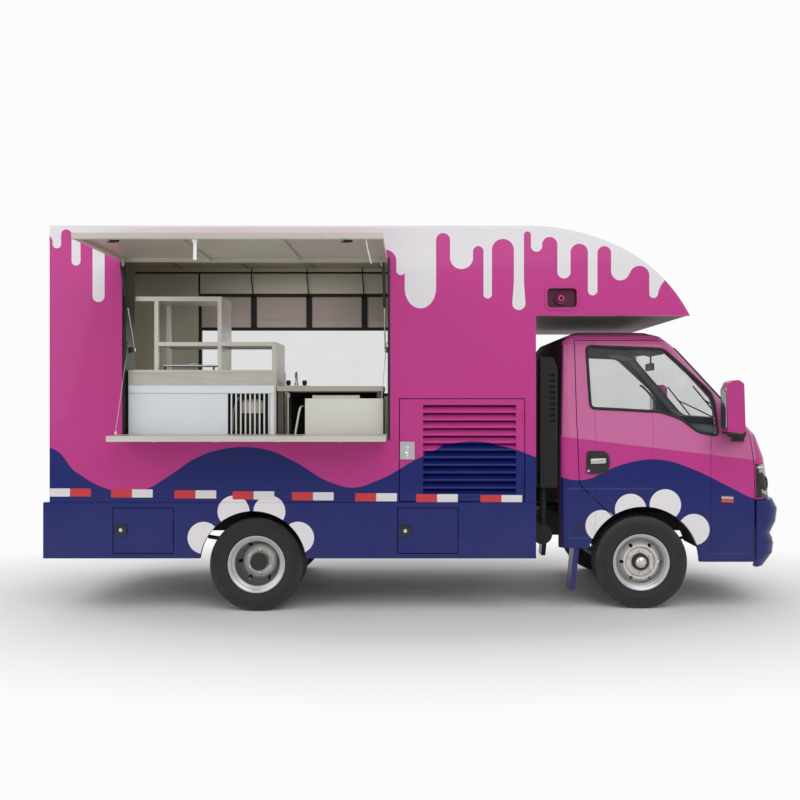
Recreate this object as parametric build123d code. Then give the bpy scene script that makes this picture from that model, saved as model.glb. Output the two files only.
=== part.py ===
"""Ice cream truck: a small cab-over chassis cab with a box body, a serving opening on the
right-hand side, a lifted awning flap and a folded-out counter shelf.

Millimetres, +X forward, +Y to the left, +Z up, ground at Z = 0. The pieces are modelled about
the vehicle's centreline and moved sideways at the end, so that the origin is the middle of the
footprint with the awning out.
"""

import os
from math import atan2, cos, degrees, hypot, radians, sin

from build123d import *

SIDES = (("right", -1), ("left", 1))
RUNNING_GAP = 0.3
GLASS = 5

# Box body
BOX_REAR = -2660
BOX_FRONT = 816
BOX_HALF = 930
BOX_BASE = 790
BOX_TOP = 2776
WALL = 40
ROOF_EDGE_ROUND = 22
FLOOR = 60
FLOOR_TOP = BOX_BASE + FLOOR
NOSE_START = 760
NOSE_BASE = 2130
NOSE_REAR_RADIUS = 1500
NOSE_REAR_ANGLE = 27
NOSE_FRONT_RADIUS = 1100
NOSE_FLOOR = 30
BEARER_DEEP = 70
BEARER_HALF = 30
BEARERS = (-2600, -2260, -1700, -1140, -600, -230, 320, 756)

# Serving opening with its awning and counter shelf
OPENING_REAR = -2142
OPENING_FRONT = -242
OPENING_BASE = 1240
OPENING_TOP = BOX_TOP - 231
FLAP_CLEAR = 5
HINGE_OUT = 4
HINGE_KNUCKLE = 3.9
HINGE_HALF = 60
HINGE_XS = (-1900, -1192, -484)
AWNING_REACH = 945
AWNING_THICK = 34
AWNING_FRAME = 36
AWNING_SKIN = 10
SHELF_REACH = 340
SHELF_THICK = 38
STRUT_OUT = 100
STRUT_DROP = 64
STRUT_FOOT_IN = 204
STRUT_FOOT_DROP = 650
STRUT_INSET = 26
STRUT_PIN = 5
BRACKET_INSET = STRUT_INSET + 18
BARREL_START = 24
BARREL_RADIUS = 11
BARREL_LENGTH = 300
ROD_RADIUS = 5
JAMB_DEPTH = 250
JAMB_THICK = 18
# end of the opening: X of the strut, X of its bracket on the awning
STRUT_XS = {
    "rear": (OPENING_REAR + STRUT_INSET, OPENING_REAR + BRACKET_INSET),
    "front": (OPENING_FRONT - STRUT_INSET, OPENING_FRONT - BRACKET_INSET),
}

# Window in the left-hand wall
WINDOW_REAR = -2035
WINDOW_FRONT = 0
WINDOW_BASE = 1560
WINDOW_TOP = BOX_TOP - 271
WINDOW_RAIL = 2180
WINDOW_PANES = 4
WINDOW_BAR = 28
WINDOW_POST = 52

# Louvre door with the equipment bay behind it
DOOR_GAP = 6
LOUVRE_REAR = -163
LOUVRE_FRONT = 739
LOUVRE_BASE = 798
LOUVRE_TOP = 1538
LOUVRE_PIN = 7
SLAT_REAR = 9
SLAT_FRONT = 673
SLAT_BASE = 838
SLAT_TOP = 1490
SLATS = 12
SLAT_THICK = 5
SLAT_WIDTH = 46
SLAT_ANGLE = 38
BAY_TOP = 1570
BAY_DEPTH = 480
BAY_PANEL = 12

# Lockers in the right-hand skirt, by the rear end of each
LOCKERS = {"rear": -2207, "front": -174}
LOCKER_LENGTH = 436
LOCKER_BASE = 428
LOCKER_TOP = 758
LOCKER_DEPTH = 300
LOCKER_WALL = 8
LOCKER_PIN = 4

# Rear entry door
REAR_DOOR_WIDTH = 720
REAR_DOOR_BASE = FLOOR_TOP + 10
REAR_DOOR_TOP = BOX_TOP - 136
REAR_DOOR_RIGHT = -300
REAR_WINDOW_BASE = 1700
REAR_WINDOW_TOP = 2300
REAR_WINDOW_SIDE = 150
REAR_PIN = 5

# Skirt below the box
SKIRT_REAR = -2703
SKIRT_BASE = 395
SKIRT_PROUD = 8
SKIRT_WALL = 40
BACK_SET = 8
REAR_ARCH_X = -1205
REAR_ARCH_Z = 350
REAR_ARCH_RADIUS = 383
TAIL_LAMP_Y = (560, 800)
TAIL_LAMP_Z = (600, 700)
TAIL_LAMP_DEEP = 20

# Furniture seen through the opening
COUNTER_X = (-2125, -1055)
COUNTER_Y = (-846, -348)
COUNTER_TOP = 1743
WELLS = ((-1885, -1500), (-1430, -1110))
WELL_Y = (-800, -545)
WELL_DEEP = 150
GRILLE_X = (-1402, -1098)
GRILLE_Z = (1275, 1572)
GRILLE_DEEP = 60
GRILLE_BAR_WIDE = 10
GRILLE_PITCH = 34
RACK_POST = 29
RACK_PANEL = 12
# X, back in Y, Z
RACK_SHELVES = (((-2072, -1449), -497, (2243, 2275)), ((-1909, -1055), -402, (1917, 1946)))
# rear end in X, back in Y, top
RACK_POSTS = ((-1936, -497, 2250), (-1478, -497, 2250), (-1084, -402, 1925))
RACK_PANELS = ((-1461, -500, 2255), (-1067, -405, 1930))
WORKTOP_X = (-1050, -280)
WORKTOP_TOP = 1627
WORKTOP_THICK = 37
CABINET_REAR = -847
CABINET_TOP = 1537
WORKTOP_SHELF_TOP = 1000
LEG = 40

# Wheels
REAR_AXLE_X = -1194
FRONT_AXLE_X = 1607
TYRE_RADIUS = 338
TYRE_WIDTH = 185
TYRE_SHOULDER = 22
BEAD_INSET = 7.5
GROOVES = (-36, 0, 36)
GROOVE_DEEP = 8
RIM_RADIUS = 190
WELL_RADIUS = 166
RIM_WALL = 5
LIP_RADIUS = 207
LIP_HALF = 76
AXLE_Z = TYRE_RADIUS
FRONT_TYRE_Y = 708
OUTER_TYRE_Y = 788
TWIN_SPACING = 215
TWIN_FACE = OUTER_TYRE_Y - TWIN_SPACING / 2
LUGS = 6
LUG_CIRCLE = 84
LUG_RADIUS = 10
HUB_STUDS = 8
# outward distance from the wheel's centre, radius
FRONT_DISC = (
    (38, 30), (38, 100), (50, 112), (50, 128), (20, 152), (8, 166.5),
    (0, 166.5), (12, 146), (43, 124), (43, 116), (30, 104), (30, 30),
)
FRONT_HUB = (
    (-30, 62), (-10, 62), (-10, 100), (0, 100), (0, 58),
    (34, 58), (60, 46), (72, 40), (72, 20), (48, 20),
)
REAR_DISC = (
    (0, 60), (0, 104), (-6, 118), (2, 140), (42, 158), (80, 166.5),
    (92, 166.5), (50, 151), (9, 134), (2, 120), (8, 104), (8, 60),
)
REAR_HUB = (
    (-150, 145), (-20, 145), (-8, 110), (-8, 70), (30, 70), (60, 66), (96, 62), (96, 0), (-60, 0),
)

# Chassis, axles and springs
RAIL_OUTER = 360
RAIL_INNER = 300
RAIL_TOP = 650
RAIL_DEEP = 140
RAIL_BASE = RAIL_TOP - RAIL_DEEP
RAIL_WEB = 8
RAIL_REAR = -2640
RAIL_FRONT = 2380
CROSSMEMBERS = (-2560, -1900, -620, 200, 740, 2300)
CROSSMEMBER_HALF = 30
CROSSMEMBER_INSET = 20
SPINDLE_RADIUS = 25
SPINDLE_END = 40
REAR_SPINDLE_RADIUS = 33
KINGPIN_Y = 600
KINGPIN_RADIUS = 12
KINGPIN_BOSS = 32
KNUCKLE_PLATE = (40, 60)
KNUCKLE_EYES = (-96, 22)
KNUCKLE_EYE_DEEP = 34
BEAM_HALF = 520
PAD_HALF = 45
PAD_REACH = 36
FRONT_PAD = 42
REAR_PAD = 62
SPRING_Y = 400
SPRING_WIDTH = 60
SPRING_LEAVES = 4
SPRING_RISE = 60
SPRING_EYE_UP = 95
SPRING_EYE_RADIUS = 20
SPRING_EYE_HALF = 22
SPRING_BRACKET = (10, 50)
LEAF_THICK = 10
LEAF_STEP = 0.2
# axle, half length, height of the seat over the axle
SPRINGS = ((FRONT_AXLE_X, 480, FRONT_PAD), (REAR_AXLE_X, 560, REAR_PAD))

# Engine, exhaust and tank
GEARBOX_REAR = 820
SHAFT_RADIUS = 34
# X, Y, Z of the engine, its sump and its gearbox
ENGINE_BLOCKS = (
    ((1250, 1900), (-230, 230), (440, 765)),
    ((1330, 1500), (-150, 150), (400, 440)),
    ((GEARBOX_REAR, 1250), (-130, 130), (440, 640)),
)
ENGINE_MOUNT = ((1500, 1580), 225, (520, 560))
EXHAUST_Y = -230
EXHAUST_Z = 440
# radius, rear end, front end
EXHAUST_RUNS = ((85, -450, 150), (24, 150, 700), (22, -575, -450))
OUTLET_RADIUS = 21
OUTLET_X = -560
OUTLET_Y = (-860, -200)
HANGERS = (-300, 50)
TANK_OUTLINE = ((-180, 420), (420, 420), (420, 700), (-180, 700))
TANK_Y = (400, 840)
TANK_STRAPS = (-80, 320)

# Cab
CAB_WALL = 45
CAB_FLOOR_BASE = 780
CAB_FLOOR = 50
CAB_FLOOR_GAP = 7
CAB_REAR_BASE = 448
CAB_MOUNTS = (1210, 2290)
CAB_STEEP = 1200
CAB_ROOF = 1990
DOOR_LINE_GAP = 3
DOOR_INNER = 735
DOOR_INNER_TOP = 655
ARCH_FORWARD = 8
ARCH_RADIUS = 412
GLASS_INSET = 14
GLASS_MARGIN = 0.3
LAMP_OUT = 2
LAMP_DEEP = 60
LAMP_INNER = 470
SCREEN_CORNER = 60
LINER_Y = (470, 755)
LINER_THICK = 8
LINER_BASE = 450
BUMPER_TOP = 796
BUMPER_REAR = 2436
BUMPER_BRACKET = (516, 556)
GRILLE_BARS = (586, 622)
GRILLE_BAR = 14
GRILLE_BAR_X = (2610, 2640)
# height, rear, front, half width, front corner, bow of the front across the width
CAB_SECTIONS = (
    (345, 1008, 2640, 815, 220, 90),
    (830, 1008, 2640, 817, 220, 90),
    (1100, 1008, 2604, 818, 220, 90),
    (1265, 1008, 2536, 817, 200, 85),
    (1935, 1030, 1915, 740, 150, 65),
    (2000, 1075, 1830, 712, 140, 55),
    (2028, 1150, 1730, 650, 120, 45),
)
# height, front
BUMPER_SECTIONS = (
    (308, 2600), (400, 2668), (470, 2676), (545, 2650), (630, 2692), (725, 2704), (BUMPER_TOP, 2668),
)
# Y, Z
GRILLE_OUTLINE = ((-430, 560), (430, 560), (470, 660), (-470, 660))
WINDSCREEN_OUTLINE = ((-690, 1385), (690, 1385), (628, 1912), (-628, 1912))
# X, Z, before the arch is cut from the door
DOOR_OUTLINE = (
    (1126, 1966), (1130, 1380), (1146, 954), (1157, 903), (1420, 650), (1420, 345), (2428, 345),
    (2428, 805), (2424, 1060), (2404, 1235), (2362, 1388), (2293, 1453), (1825, 1966),
)
WINDOW_OUTLINE = (
    (1222, 1918), (1244, 1470), (1740, 1452), (1882, 1400), (2010, 1300), (2148, 1272),
    (2126, 1540), (2108, 1590), (1776, 1890),
)
LAMP_OUTLINE = ((2436, 812), (2700, 812), (2700, 930), (2640, 1056), (2436, 1060))
MUD_FLAP_OUTLINE = ((1082, 140), (1120, 140), (1150, 448), (1110, 448))
MUD_FLAP_Y = (640, 800)

# Mirrors and air intake
MIRROR_OUTLINE = ((2160, 1275), (2285, 1290), (2275, 1640), (2240, 1668), (2180, 1660), (2152, 1600))
MIRROR_INNER = 878
MIRROR_REACH = 1010
MIRROR_FOOT = ((2255, 2345), (800, 828), (1225, 1300))
MIRROR_ARM = ((2225, 2330), (824, 900), (1262, 1296))
INTAKE_OUTLINE = ((868, 884), (996, 884), (996, 1760), (960, 1840), (868, 1840))
INTAKE_Y = (-780, -640)
INTAKE_SLOTS = 9
INTAKE_SLOT_BASE = 1360
INTAKE_SLOT = 22
INTAKE_SLOT_PITCH = 42
INTAKE_BRACKETS = (1000, 1700)

# Seats, dashboard and steering wheel
DASH_OUTLINE = (
    (2330, 830), (2330, 1010), (2130, 1160), (2080, 1220),
    (2140, 1290), (2400, 1330), (2425, 1200), (2425, 830),
)
DASH_HALF = 742
DASH_GAP = 9
STEERING_CENTRE = (1955, 390, 1250)
STEERING_TILT = -62
STEERING_RADIUS = 190
SEAT_Y = 390
SEAT_HALF = 250
# outline in X and Z, corner radius, half width
SEAT_PIECES = (
    (((1190, 830), (1700, 830), (1700, 980), (1190, 960)), 20, SEAT_HALF),
    (((1190, 955), (1720, 975), (1730, 1080), (1200, 1050)), 35, SEAT_HALF),
    (((1090, 830), (1195, 830), (1200, 1020), (1150, 1660), (1070, 1660)), 20, SEAT_HALF),
    (((1065, 1640), (1160, 1640), (1150, 1830), (1075, 1830)), 30, 120),
)

# Horn on the nose's side
HORN_PAN = (880, 1124, 2170, 2341)
# outward distance from the wall's inner face, radius
HORN_BELL = ((0, 0), (0, 20), (16, 30), (26, 46), (29, 46), (18, 26), (10, 14), (10, 0))

# Sideways move to the middle of the footprint
AWNING_EDGE = BOX_HALF + HINGE_OUT + FLAP_CLEAR + AWNING_REACH
OFFSET_Y = (AWNING_EDGE - MIRROR_REACH) / 2


def block(x, y, z):
    """A box between two corners, each given as (low, high)."""
    size = [high - low for low, high in (x, y, z)]
    middle = [(high + low) / 2 for low, high in (x, y, z)]
    return Pos(*middle) * Box(*size)


def polygon(points, radius=0):
    """A flat face of straight edges in the sketch plane, with its corners rounded."""
    face = make_face(Polyline(*points, close=True))
    if radius:
        face = fillet(face.vertices(), radius)
    return face


def upright(left, right, low, high, margin=0):
    """The corners of an upright rectangle, drawn in by a margin."""
    left, right, low, high = left + margin, right - margin, low + margin, high - margin
    return ((left, low), (right, low), (right, high), (left, high))


def across(face, low, high):
    """A face drawn in X and Z, made solid from Y low to Y high."""
    plane = Plane(origin=(0, high, 0), x_dir=(1, 0, 0), z_dir=(0, -1, 0))
    return extrude(plane * face, amount=high - low)


def along(face, low, high):
    """A face drawn in Y and Z, made solid from X low to X high."""
    plane = Plane(origin=(low, 0, 0), x_dir=(0, 1, 0), z_dir=(1, 0, 0))
    return extrude(plane * face, amount=high - low)


def rod_y(radius, low, high, x=0, z=0):
    """A round bar along Y."""
    return Pos(x, (low + high) / 2, z) * Rot(90, 0, 0) * Cylinder(radius, high - low)


def rod_x(radius, low, high, y=0, z=0):
    """A round bar along X."""
    return Pos((low + high) / 2, y, z) * Rot(0, 90, 0) * Cylinder(radius, high - low)


def rod_z(radius, low, high, x=0, y=0):
    """A round bar along Z."""
    return Pos(x, y, (low + high) / 2) * Cylinder(radius, high - low)


def turned(points, side, centre, x, z):
    """A solid of revolution about Y. Points are (outward distance from centre, radius)."""
    face = make_face(Polyline(*[(side * (centre + out), radius) for out, radius in points], close=True))
    return Pos(x, 0, z) * revolve(Plane.YZ * face, Axis.Y)


def ring_of(solid, count, axis_x, axis_z, start=0):
    """Copies of a solid about an axis along Y."""
    axis = Axis((axis_x, 0, axis_z), (0, 1, 0))
    return [solid.rotate(axis, start + 360 * index / count) for index in range(count)]


def ordered(low, high):
    """Two distances in rising order."""
    return (min(low, high), max(low, high))


def sideways(side, span):
    """A span of outward distances as Y on one side of the vehicle."""
    return ordered(side * span[0], side * span[1])


def on_side(face, side, low, high):
    """A face in X and Z, made solid outward on one side of the vehicle."""
    return across(face, *sideways(side, (low, high)))


def fused(solids):
    """One shape from several that touch."""
    shape = solids[0]
    for solid in solids[1:]:
        shape = shape + solid
    return shape


PARTS = {}


def keep(name, *solids):
    """Stores a node's solids, fused where they touch."""
    PARTS[name] = fused(solids)


def keep_apart(name, solids):
    """Stores a node of solids that don't touch."""
    PARTS[name] = Compound(children=list(solids))


def box_outline(inset=0):
    """The box seen from the side: flat roof, then the nose over the cab in two arcs."""
    top = BOX_TOP - inset
    start = radians(NOSE_REAR_ANGLE)
    rear_radius = NOSE_REAR_RADIUS - inset
    front_radius = NOSE_FRONT_RADIUS - inset
    knee_x = NOSE_START + rear_radius * sin(start)
    knee_z = top - rear_radius * (1 - cos(start))
    end = arc_end(knee_z - NOSE_BASE, front_radius)
    middle = (start + end) / 2

    def front_point(angle):
        ahead = front_radius * (sin(angle) - sin(start))
        return (knee_x + ahead, knee_z - front_radius * (cos(start) - cos(angle)))

    tip = front_point(end)
    half = start / 2
    rear_middle = (NOSE_START + rear_radius * sin(half), top - rear_radius * (1 - cos(half)))
    edges = [
        Line((BOX_REAR, BOX_BASE), (BOX_REAR, top)),
        Line((BOX_REAR, top), (NOSE_START, top)),
        ThreePointArc((NOSE_START, top), rear_middle, (knee_x, knee_z)),
        ThreePointArc((knee_x, knee_z), front_point(middle), tip),
        Line(tip, (BOX_FRONT, NOSE_BASE)),
        Line((BOX_FRONT, NOSE_BASE), (BOX_FRONT, BOX_BASE)),
        Line((BOX_FRONT, BOX_BASE), (BOX_REAR, BOX_BASE)),
    ]
    return make_face(edges)


def arc_end(drop, radius):
    """Angle from level at which the nose's front arc has come down to the nose's floor."""
    level = cos(radians(NOSE_REAR_ANGLE)) - drop / radius
    return atan2((1 - level * level) ** 0.5, level)


def nose_floor_end():
    """Where the nose's floor meets the inside of its front arc."""
    start = radians(NOSE_REAR_ANGLE)
    knee_x = NOSE_START + NOSE_REAR_RADIUS * sin(start)
    knee_z = BOX_TOP - NOSE_REAR_RADIUS * (1 - cos(start))
    end = arc_end(knee_z - NOSE_BASE - NOSE_FLOOR, NOSE_FRONT_RADIUS)
    return knee_x + NOSE_FRONT_RADIUS * (sin(end) - sin(start)) - 4


def eased(panel, outer_y):
    """Rounds a side panel's outer edge along the roof and the nose."""
    edges = [edge for edge in panel.edges() if abs(edge.center().Y - outer_y) < 1]
    edges = [edge for edge in edges if edge.center().Z > NOSE_BASE + 20]
    edges = [edge for edge in edges if edge.center().X > BOX_REAR + 5]
    return fillet(edges, ROOF_EDGE_ROUND)


def cab_form(inset):
    """The cab's outer form, or the same form drawn in by a wall's thickness."""
    sections = []
    for height, rear, front, half, corner, bow in CAB_SECTIONS:
        steep = 1.0 if height < CAB_STEEP else 1.35
        level = height - inset if height > CAB_ROOF else height
        plan = cab_plan(rear + inset, front - inset * steep, half - inset, corner - inset, bow)
        sections.append(Pos(0, 0, level) * plan)
    return loft(sections, ruled=True)


def cab_plan(rear, front, half, corner, bow):
    """One level section through the cab, with a bowed front."""
    edges = [
        Line((rear, -half), (front - bow, -half)),
        ThreePointArc((front - bow, -half), (front, 0), (front - bow, half)),
        Line((front - bow, half), (rear, half)),
        Line((rear, half), (rear, -half)),
    ]
    face = make_face(edges)
    face = fillet(face.vertices().sort_by(Axis.X)[2:], corner)
    return fillet(face.vertices().sort_by(Axis.X)[:2], min(60, corner / 2))


def door_face(grow):
    """The door's outline, larger by the shut line's gap or smaller."""
    face = offset(polygon(DOOR_OUTLINE), amount=grow, kind=Kind.INTERSECTION)
    arch = Pos(FRONT_AXLE_X + ARCH_FORWARD, AXLE_Z) * Circle(ARCH_RADIUS)
    return face - arch


def window_face(grow=0):
    """The door window's outline."""
    face = polygon(WINDOW_OUTLINE)
    if grow:
        face = offset(face, amount=grow, kind=Kind.INTERSECTION)
    return fillet(face.vertices(), 24)


def door_zone(face, side):
    """A face in X and Z, made solid through one side wall of the cab, which leans in above the belt."""
    belt = CAB_SECTIONS[3][0]
    wall = ((DOOR_INNER, 300), (900, 300), (900, 2000), (DOOR_INNER_TOP, 2000), (DOOR_INNER, belt))
    wall = along(polygon(wall), 1000, 2700)
    if side < 0:
        wall = wall.mirror(Plane.XZ)
    return on_side(face, side, 600, 900) & wall


def strut_top():
    """Y and Z of the strut's pin on the open awning."""
    return -BOX_HALF - HINGE_OUT - STRUT_OUT, OPENING_TOP - STRUT_DROP


def strut_foot():
    """Y and Z of the strut's pin inside the opening."""
    return -BOX_HALF - HINGE_OUT + STRUT_FOOT_IN, OPENING_TOP - STRUT_FOOT_DROP


def make_chassis():
    pieces = []
    for _, side in SIDES:
        web = ordered(side * (RAIL_OUTER - RAIL_WEB), side * RAIL_OUTER)
        flange = ordered(side * RAIL_INNER, side * RAIL_OUTER)
        pieces.append(block((RAIL_REAR, RAIL_FRONT), web, (RAIL_BASE, RAIL_TOP)))
        for low in (RAIL_BASE, RAIL_TOP - RAIL_WEB):
            pieces.append(block((RAIL_REAR, RAIL_FRONT), flange, (low, low + RAIL_WEB)))
    reach = RAIL_OUTER - RAIL_WEB
    for x in CROSSMEMBERS:
        z = (RAIL_BASE + CROSSMEMBER_INSET, RAIL_TOP - CROSSMEMBER_INSET)
        pieces.append(block((x - CROSSMEMBER_HALF, x + CROSSMEMBER_HALF), (-reach, reach), z))
    keep("chassis_frame", *pieces)


def leaf(reach, top, rise):
    """One spring leaf from its middle to both ends, as a face in X and Z."""
    upper = ThreePointArc((-reach, top + rise), (0, top), (reach, top + rise))
    base = top - LEAF_THICK
    lower = ThreePointArc((-reach, base + rise), (0, base), (reach, base + rise))
    return make_face([upper, lower, Line(upper @ 0, lower @ 0), Line(upper @ 1, lower @ 1)])


def make_springs():
    packs = []
    half_width = SPRING_WIDTH / 2
    bracket_z = (RAIL_BASE - SPRING_BRACKET[0], RAIL_BASE + SPRING_BRACKET[1])
    for axle_x, half, pad in SPRINGS:
        seat = AXLE_Z + pad
        for _, side in SIDES:
            y = ordered(side * (SPRING_Y - half_width), side * (SPRING_Y + half_width))
            bracket_y = ordered(side * RAIL_OUTER, side * (SPRING_Y + half_width))
            pieces = []
            for index in range(SPRING_LEAVES):
                share = 1 - LEAF_STEP * index
                top = seat + LEAF_THICK * (SPRING_LEAVES - index)
                face = leaf(half * share, top, SPRING_RISE * share**2)
                pieces.append(Pos(axle_x, 0, 0) * across(face, *y))
            for end in (-1, 1):
                x = axle_x + end * half
                eye_z = seat + SPRING_EYE_UP
                span = (x - SPRING_EYE_HALF, x + SPRING_EYE_HALF)
                pieces.append(rod_y(SPRING_EYE_RADIUS, *y, x, eye_z))
                pieces.append(block(span, y, (eye_z, RAIL_BASE)))
                pieces.append(block(span, bracket_y, bracket_z))
            packs.append(fused(pieces))
    keep_apart("leaf_springs", packs)


def make_front_axle():
    x, z = FRONT_AXLE_X, AXLE_Z
    pieces = [block((x - 30, x + 30), (-BEAM_HALF, BEAM_HALF), (z - 50, z + 10))]
    pad_x = (x - PAD_HALF, x + PAD_HALF)
    for _, side in SIDES:
        pad_y = ordered(side * (SPRING_Y - PAD_REACH), side * (SPRING_Y + PAD_REACH))
        pieces.append(block(pad_x, pad_y, (z, z + FRONT_PAD)))
        neck_y = ordered(side * (BEAM_HALF - 5), side * KINGPIN_Y)
        pieces.append(block((x - 24, x + 24), neck_y, (z - 45, z + 5)))
        pieces.append(rod_z(KINGPIN_BOSS, z - 60, z + 20, x, side * KINGPIN_Y))
    shape = fused(pieces)
    for _, side in SIDES:
        bore = rod_z(KINGPIN_RADIUS + RUNNING_GAP, 0, z + 100, x, side * KINGPIN_Y)
        shape = shape - bore
    keep("front_axle", shape)


def make_knuckles():
    x, z = FRONT_AXLE_X, AXLE_Z
    for name, side in SIDES:
        pin_y = side * KINGPIN_Y
        plate_y = ordered(pin_y + side * KNUCKLE_PLATE[0], pin_y + side * KNUCKLE_PLATE[1])
        pieces = [rod_z(KINGPIN_RADIUS, z - 100, z + 60, x, pin_y)]
        for low in KNUCKLE_EYES:
            span = (z + low, z + low + KNUCKLE_EYE_DEEP)
            pieces.append(rod_z(KINGPIN_BOSS - 2, *span, x, pin_y))
            pieces.append(block((x - 22, x + 22), ordered(pin_y, pin_y + side * 52), span))
        pieces.append(rod_y(62, *plate_y, x, z))
        pieces.append(block((x - 30, x + 30), plate_y, (z + KNUCKLE_EYES[0], z + 56)))
        spindle_y = ordered(pin_y + side * 50, side * (FRONT_TYRE_Y + SPINDLE_END))
        pieces.append(rod_y(SPINDLE_RADIUS, *spindle_y, x, z))
        keep(f"knuckle_{name}", *pieces)


def tyre(side, centre, x):
    """A tyre with rounded shoulders and three grooves round its tread."""
    half = TYRE_WIDTH / 2
    flat = half - TYRE_SHOULDER
    bead = LIP_HALF - BEAD_INSET
    outer = [(bead, RIM_RADIUS), (bead, LIP_RADIUS + 1), (bead + 14, LIP_RADIUS + 9), (half, 258)]
    outer += [(half - 2, 292), (flat + 6, TYRE_RADIUS - 14), (flat, TYRE_RADIUS - 2)]
    profile = [(-out, radius) for out, radius in outer]
    floor = TYRE_RADIUS - GROOVE_DEEP
    for middle in GROOVES:
        profile += [(middle - 5, TYRE_RADIUS), (middle - 4, floor)]
        profile += [(middle + 4, floor), (middle + 5, TYRE_RADIUS)]
    profile += reversed(outer)
    well = RIM_RADIUS + 6
    profile += [(50, RIM_RADIUS), (50, well), (-50, well), (-50, RIM_RADIUS)]
    return turned(profile, side, centre, x, AXLE_Z)


def rim_barrel(side, centre, x):
    """The rolled rim that carries one tyre: two lips, two bead seats and a well."""
    seat = RIM_RADIUS - RUNNING_GAP
    half = [(34, WELL_RADIUS), (44, seat), (LIP_HALF - 7, seat)]
    half += [(LIP_HALF - 5, LIP_RADIUS), (LIP_HALF, LIP_RADIUS)]
    outer = [(-out, radius) for out, radius in reversed(half)] + half
    inner = [(LIP_HALF, LIP_RADIUS - 8), (LIP_HALF - 8, seat - RIM_WALL), (44, seat - RIM_WALL)]
    inner += [(34, WELL_RADIUS - RIM_WALL)]
    inner += [(-out, radius) for out, radius in reversed(inner)]
    return turned(outer + inner, side, centre, x, AXLE_Z)


def lug_nuts(side, face, x):
    """Six wheel nuts on the disc's outer face."""
    nut = rod_y(LUG_RADIUS, *ordered(side * (face - 2), side * (face + 18)), x + LUG_CIRCLE, AXLE_Z)
    return ring_of(nut, LUGS, x, AXLE_Z, 180 / LUGS)


def hand_holes(side, low, high, x, radius, size):
    """Round holes through a wheel disc."""
    hole = rod_y(size, *ordered(side * low, side * high), x + radius, AXLE_Z)
    return ring_of(hole, LUGS, x, AXLE_Z)


def make_front_wheels():
    x, centre = FRONT_AXLE_X, FRONT_TYRE_Y
    bore = SPINDLE_RADIUS + RUNNING_GAP
    hub_profile = [(-30, bore), *FRONT_HUB, (48, bore)]
    for name, side in SIDES:
        disc = turned(FRONT_DISC, side, centre, x, AXLE_Z)
        hub = turned(hub_profile, side, centre, x, AXLE_Z)
        cap = rod_y(24, *ordered(side * (centre + 60), side * (centre + 78)), x, AXLE_Z)
        disc = fused([disc, hub, cap, *lug_nuts(side, centre + 38, x)])
        for hole in hand_holes(side, centre - 20, centre + 70, x, 136, 13):
            disc = disc - hole
        keep(f"front_rim_{name}", rim_barrel(side, centre, x) + disc)
        keep(f"front_tyre_{name}", tyre(side, centre, x))


def make_rear_wheels():
    x = REAR_AXLE_X
    centres = (OUTER_TYRE_Y, OUTER_TYRE_Y - TWIN_SPACING)
    bore = REAR_SPINDLE_RADIUS + RUNNING_GAP
    hub_profile = [(-150, bore), *REAR_HUB, (-60, bore)]
    inner_disc = [(-out, radius) for out, radius in REAR_DISC]
    for name, side in SIDES:
        discs = [turned(profile, side, TWIN_FACE, x, AXLE_Z) for profile in (REAR_DISC, inner_disc)]
        for hole in hand_holes(side, TWIN_FACE - 60, TWIN_FACE + 60, x, 142, 15):
            discs = [disc - hole for disc in discs]
        hub = turned(hub_profile, side, TWIN_FACE, x, AXLE_Z)
        stud_y = ordered(side * (TWIN_FACE + 90), side * (TWIN_FACE + 104))
        studs = ring_of(rod_y(6, *stud_y, x + 46, AXLE_Z), HUB_STUDS, x, AXLE_Z)
        rims = [rim_barrel(side, centre, x) for centre in centres]
        keep(f"rear_rims_{name}", *rims, *discs, hub, *studs, *lug_nuts(side, TWIN_FACE + 8, x))
        keep_apart(f"rear_tyres_{name}", [tyre(side, centre, x) for centre in centres])


def make_rear_axle():
    x, z = REAR_AXLE_X, AXLE_Z
    end = TWIN_FACE - 150
    pieces = [rod_y(45, 30 - end, end - 30, x, z), Pos(x, 0, z) * Sphere(140)]
    pieces.append(rod_x(60, x, x + 230, 0, z))
    for _, side in SIDES:
        pieces.append(rod_y(138, *ordered(side * (end - 18), side * (end - 6)), x, z))
        pieces.append(rod_y(45, *ordered(side * (end - 60), side * (end - 10)), x, z))
        spindle_y = ordered(side * (end - 20), side * (end + 84))
        pieces.append(rod_y(REAR_SPINDLE_RADIUS, *spindle_y, x, z))
        pad_y = ordered(side * (SPRING_Y - PAD_REACH), side * (SPRING_Y + PAD_REACH))
        pieces.append(block((x - PAD_HALF, x + PAD_HALF), pad_y, (z + 30, z + REAR_PAD)))
    start = Vector(GEARBOX_REAR, 0, 500)
    finish = Vector(x + 200, 0, z)
    middle = (start + finish) * 0.5
    tilt = degrees(atan2(start.Z - finish.Z, start.X - finish.X))
    shaft = Cylinder(SHAFT_RADIUS, (finish - start).length - 8)
    pieces.append(Pos(*middle) * Rot(0, 90 - tilt, 0) * shaft)
    keep("rear_axle", *pieces)


def make_engine():
    blocks = [block(x, y, z) for x, y, z in ENGINE_BLOCKS]
    web = RAIL_OUTER - RAIL_WEB
    x, inner, z = ENGINE_MOUNT
    mounts = [block(x, sideways(side, (inner, web)), z) for _, side in SIDES]
    keep("engine", *blocks, *mounts)


def make_exhaust():
    y, z = EXHAUST_Y, EXHAUST_Z
    pieces = [rod_x(radius, low, high, y, z) for radius, low, high in EXHAUST_RUNS]
    pieces.append(rod_y(OUTLET_RADIUS, *OUTLET_Y, OUTLET_X, z))
    for x in HANGERS:
        pieces.append(block((x - 12, x + 12), (y - 115, y + 30), (RAIL_BASE - 10, RAIL_BASE)))
    keep("exhaust", *pieces)


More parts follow.
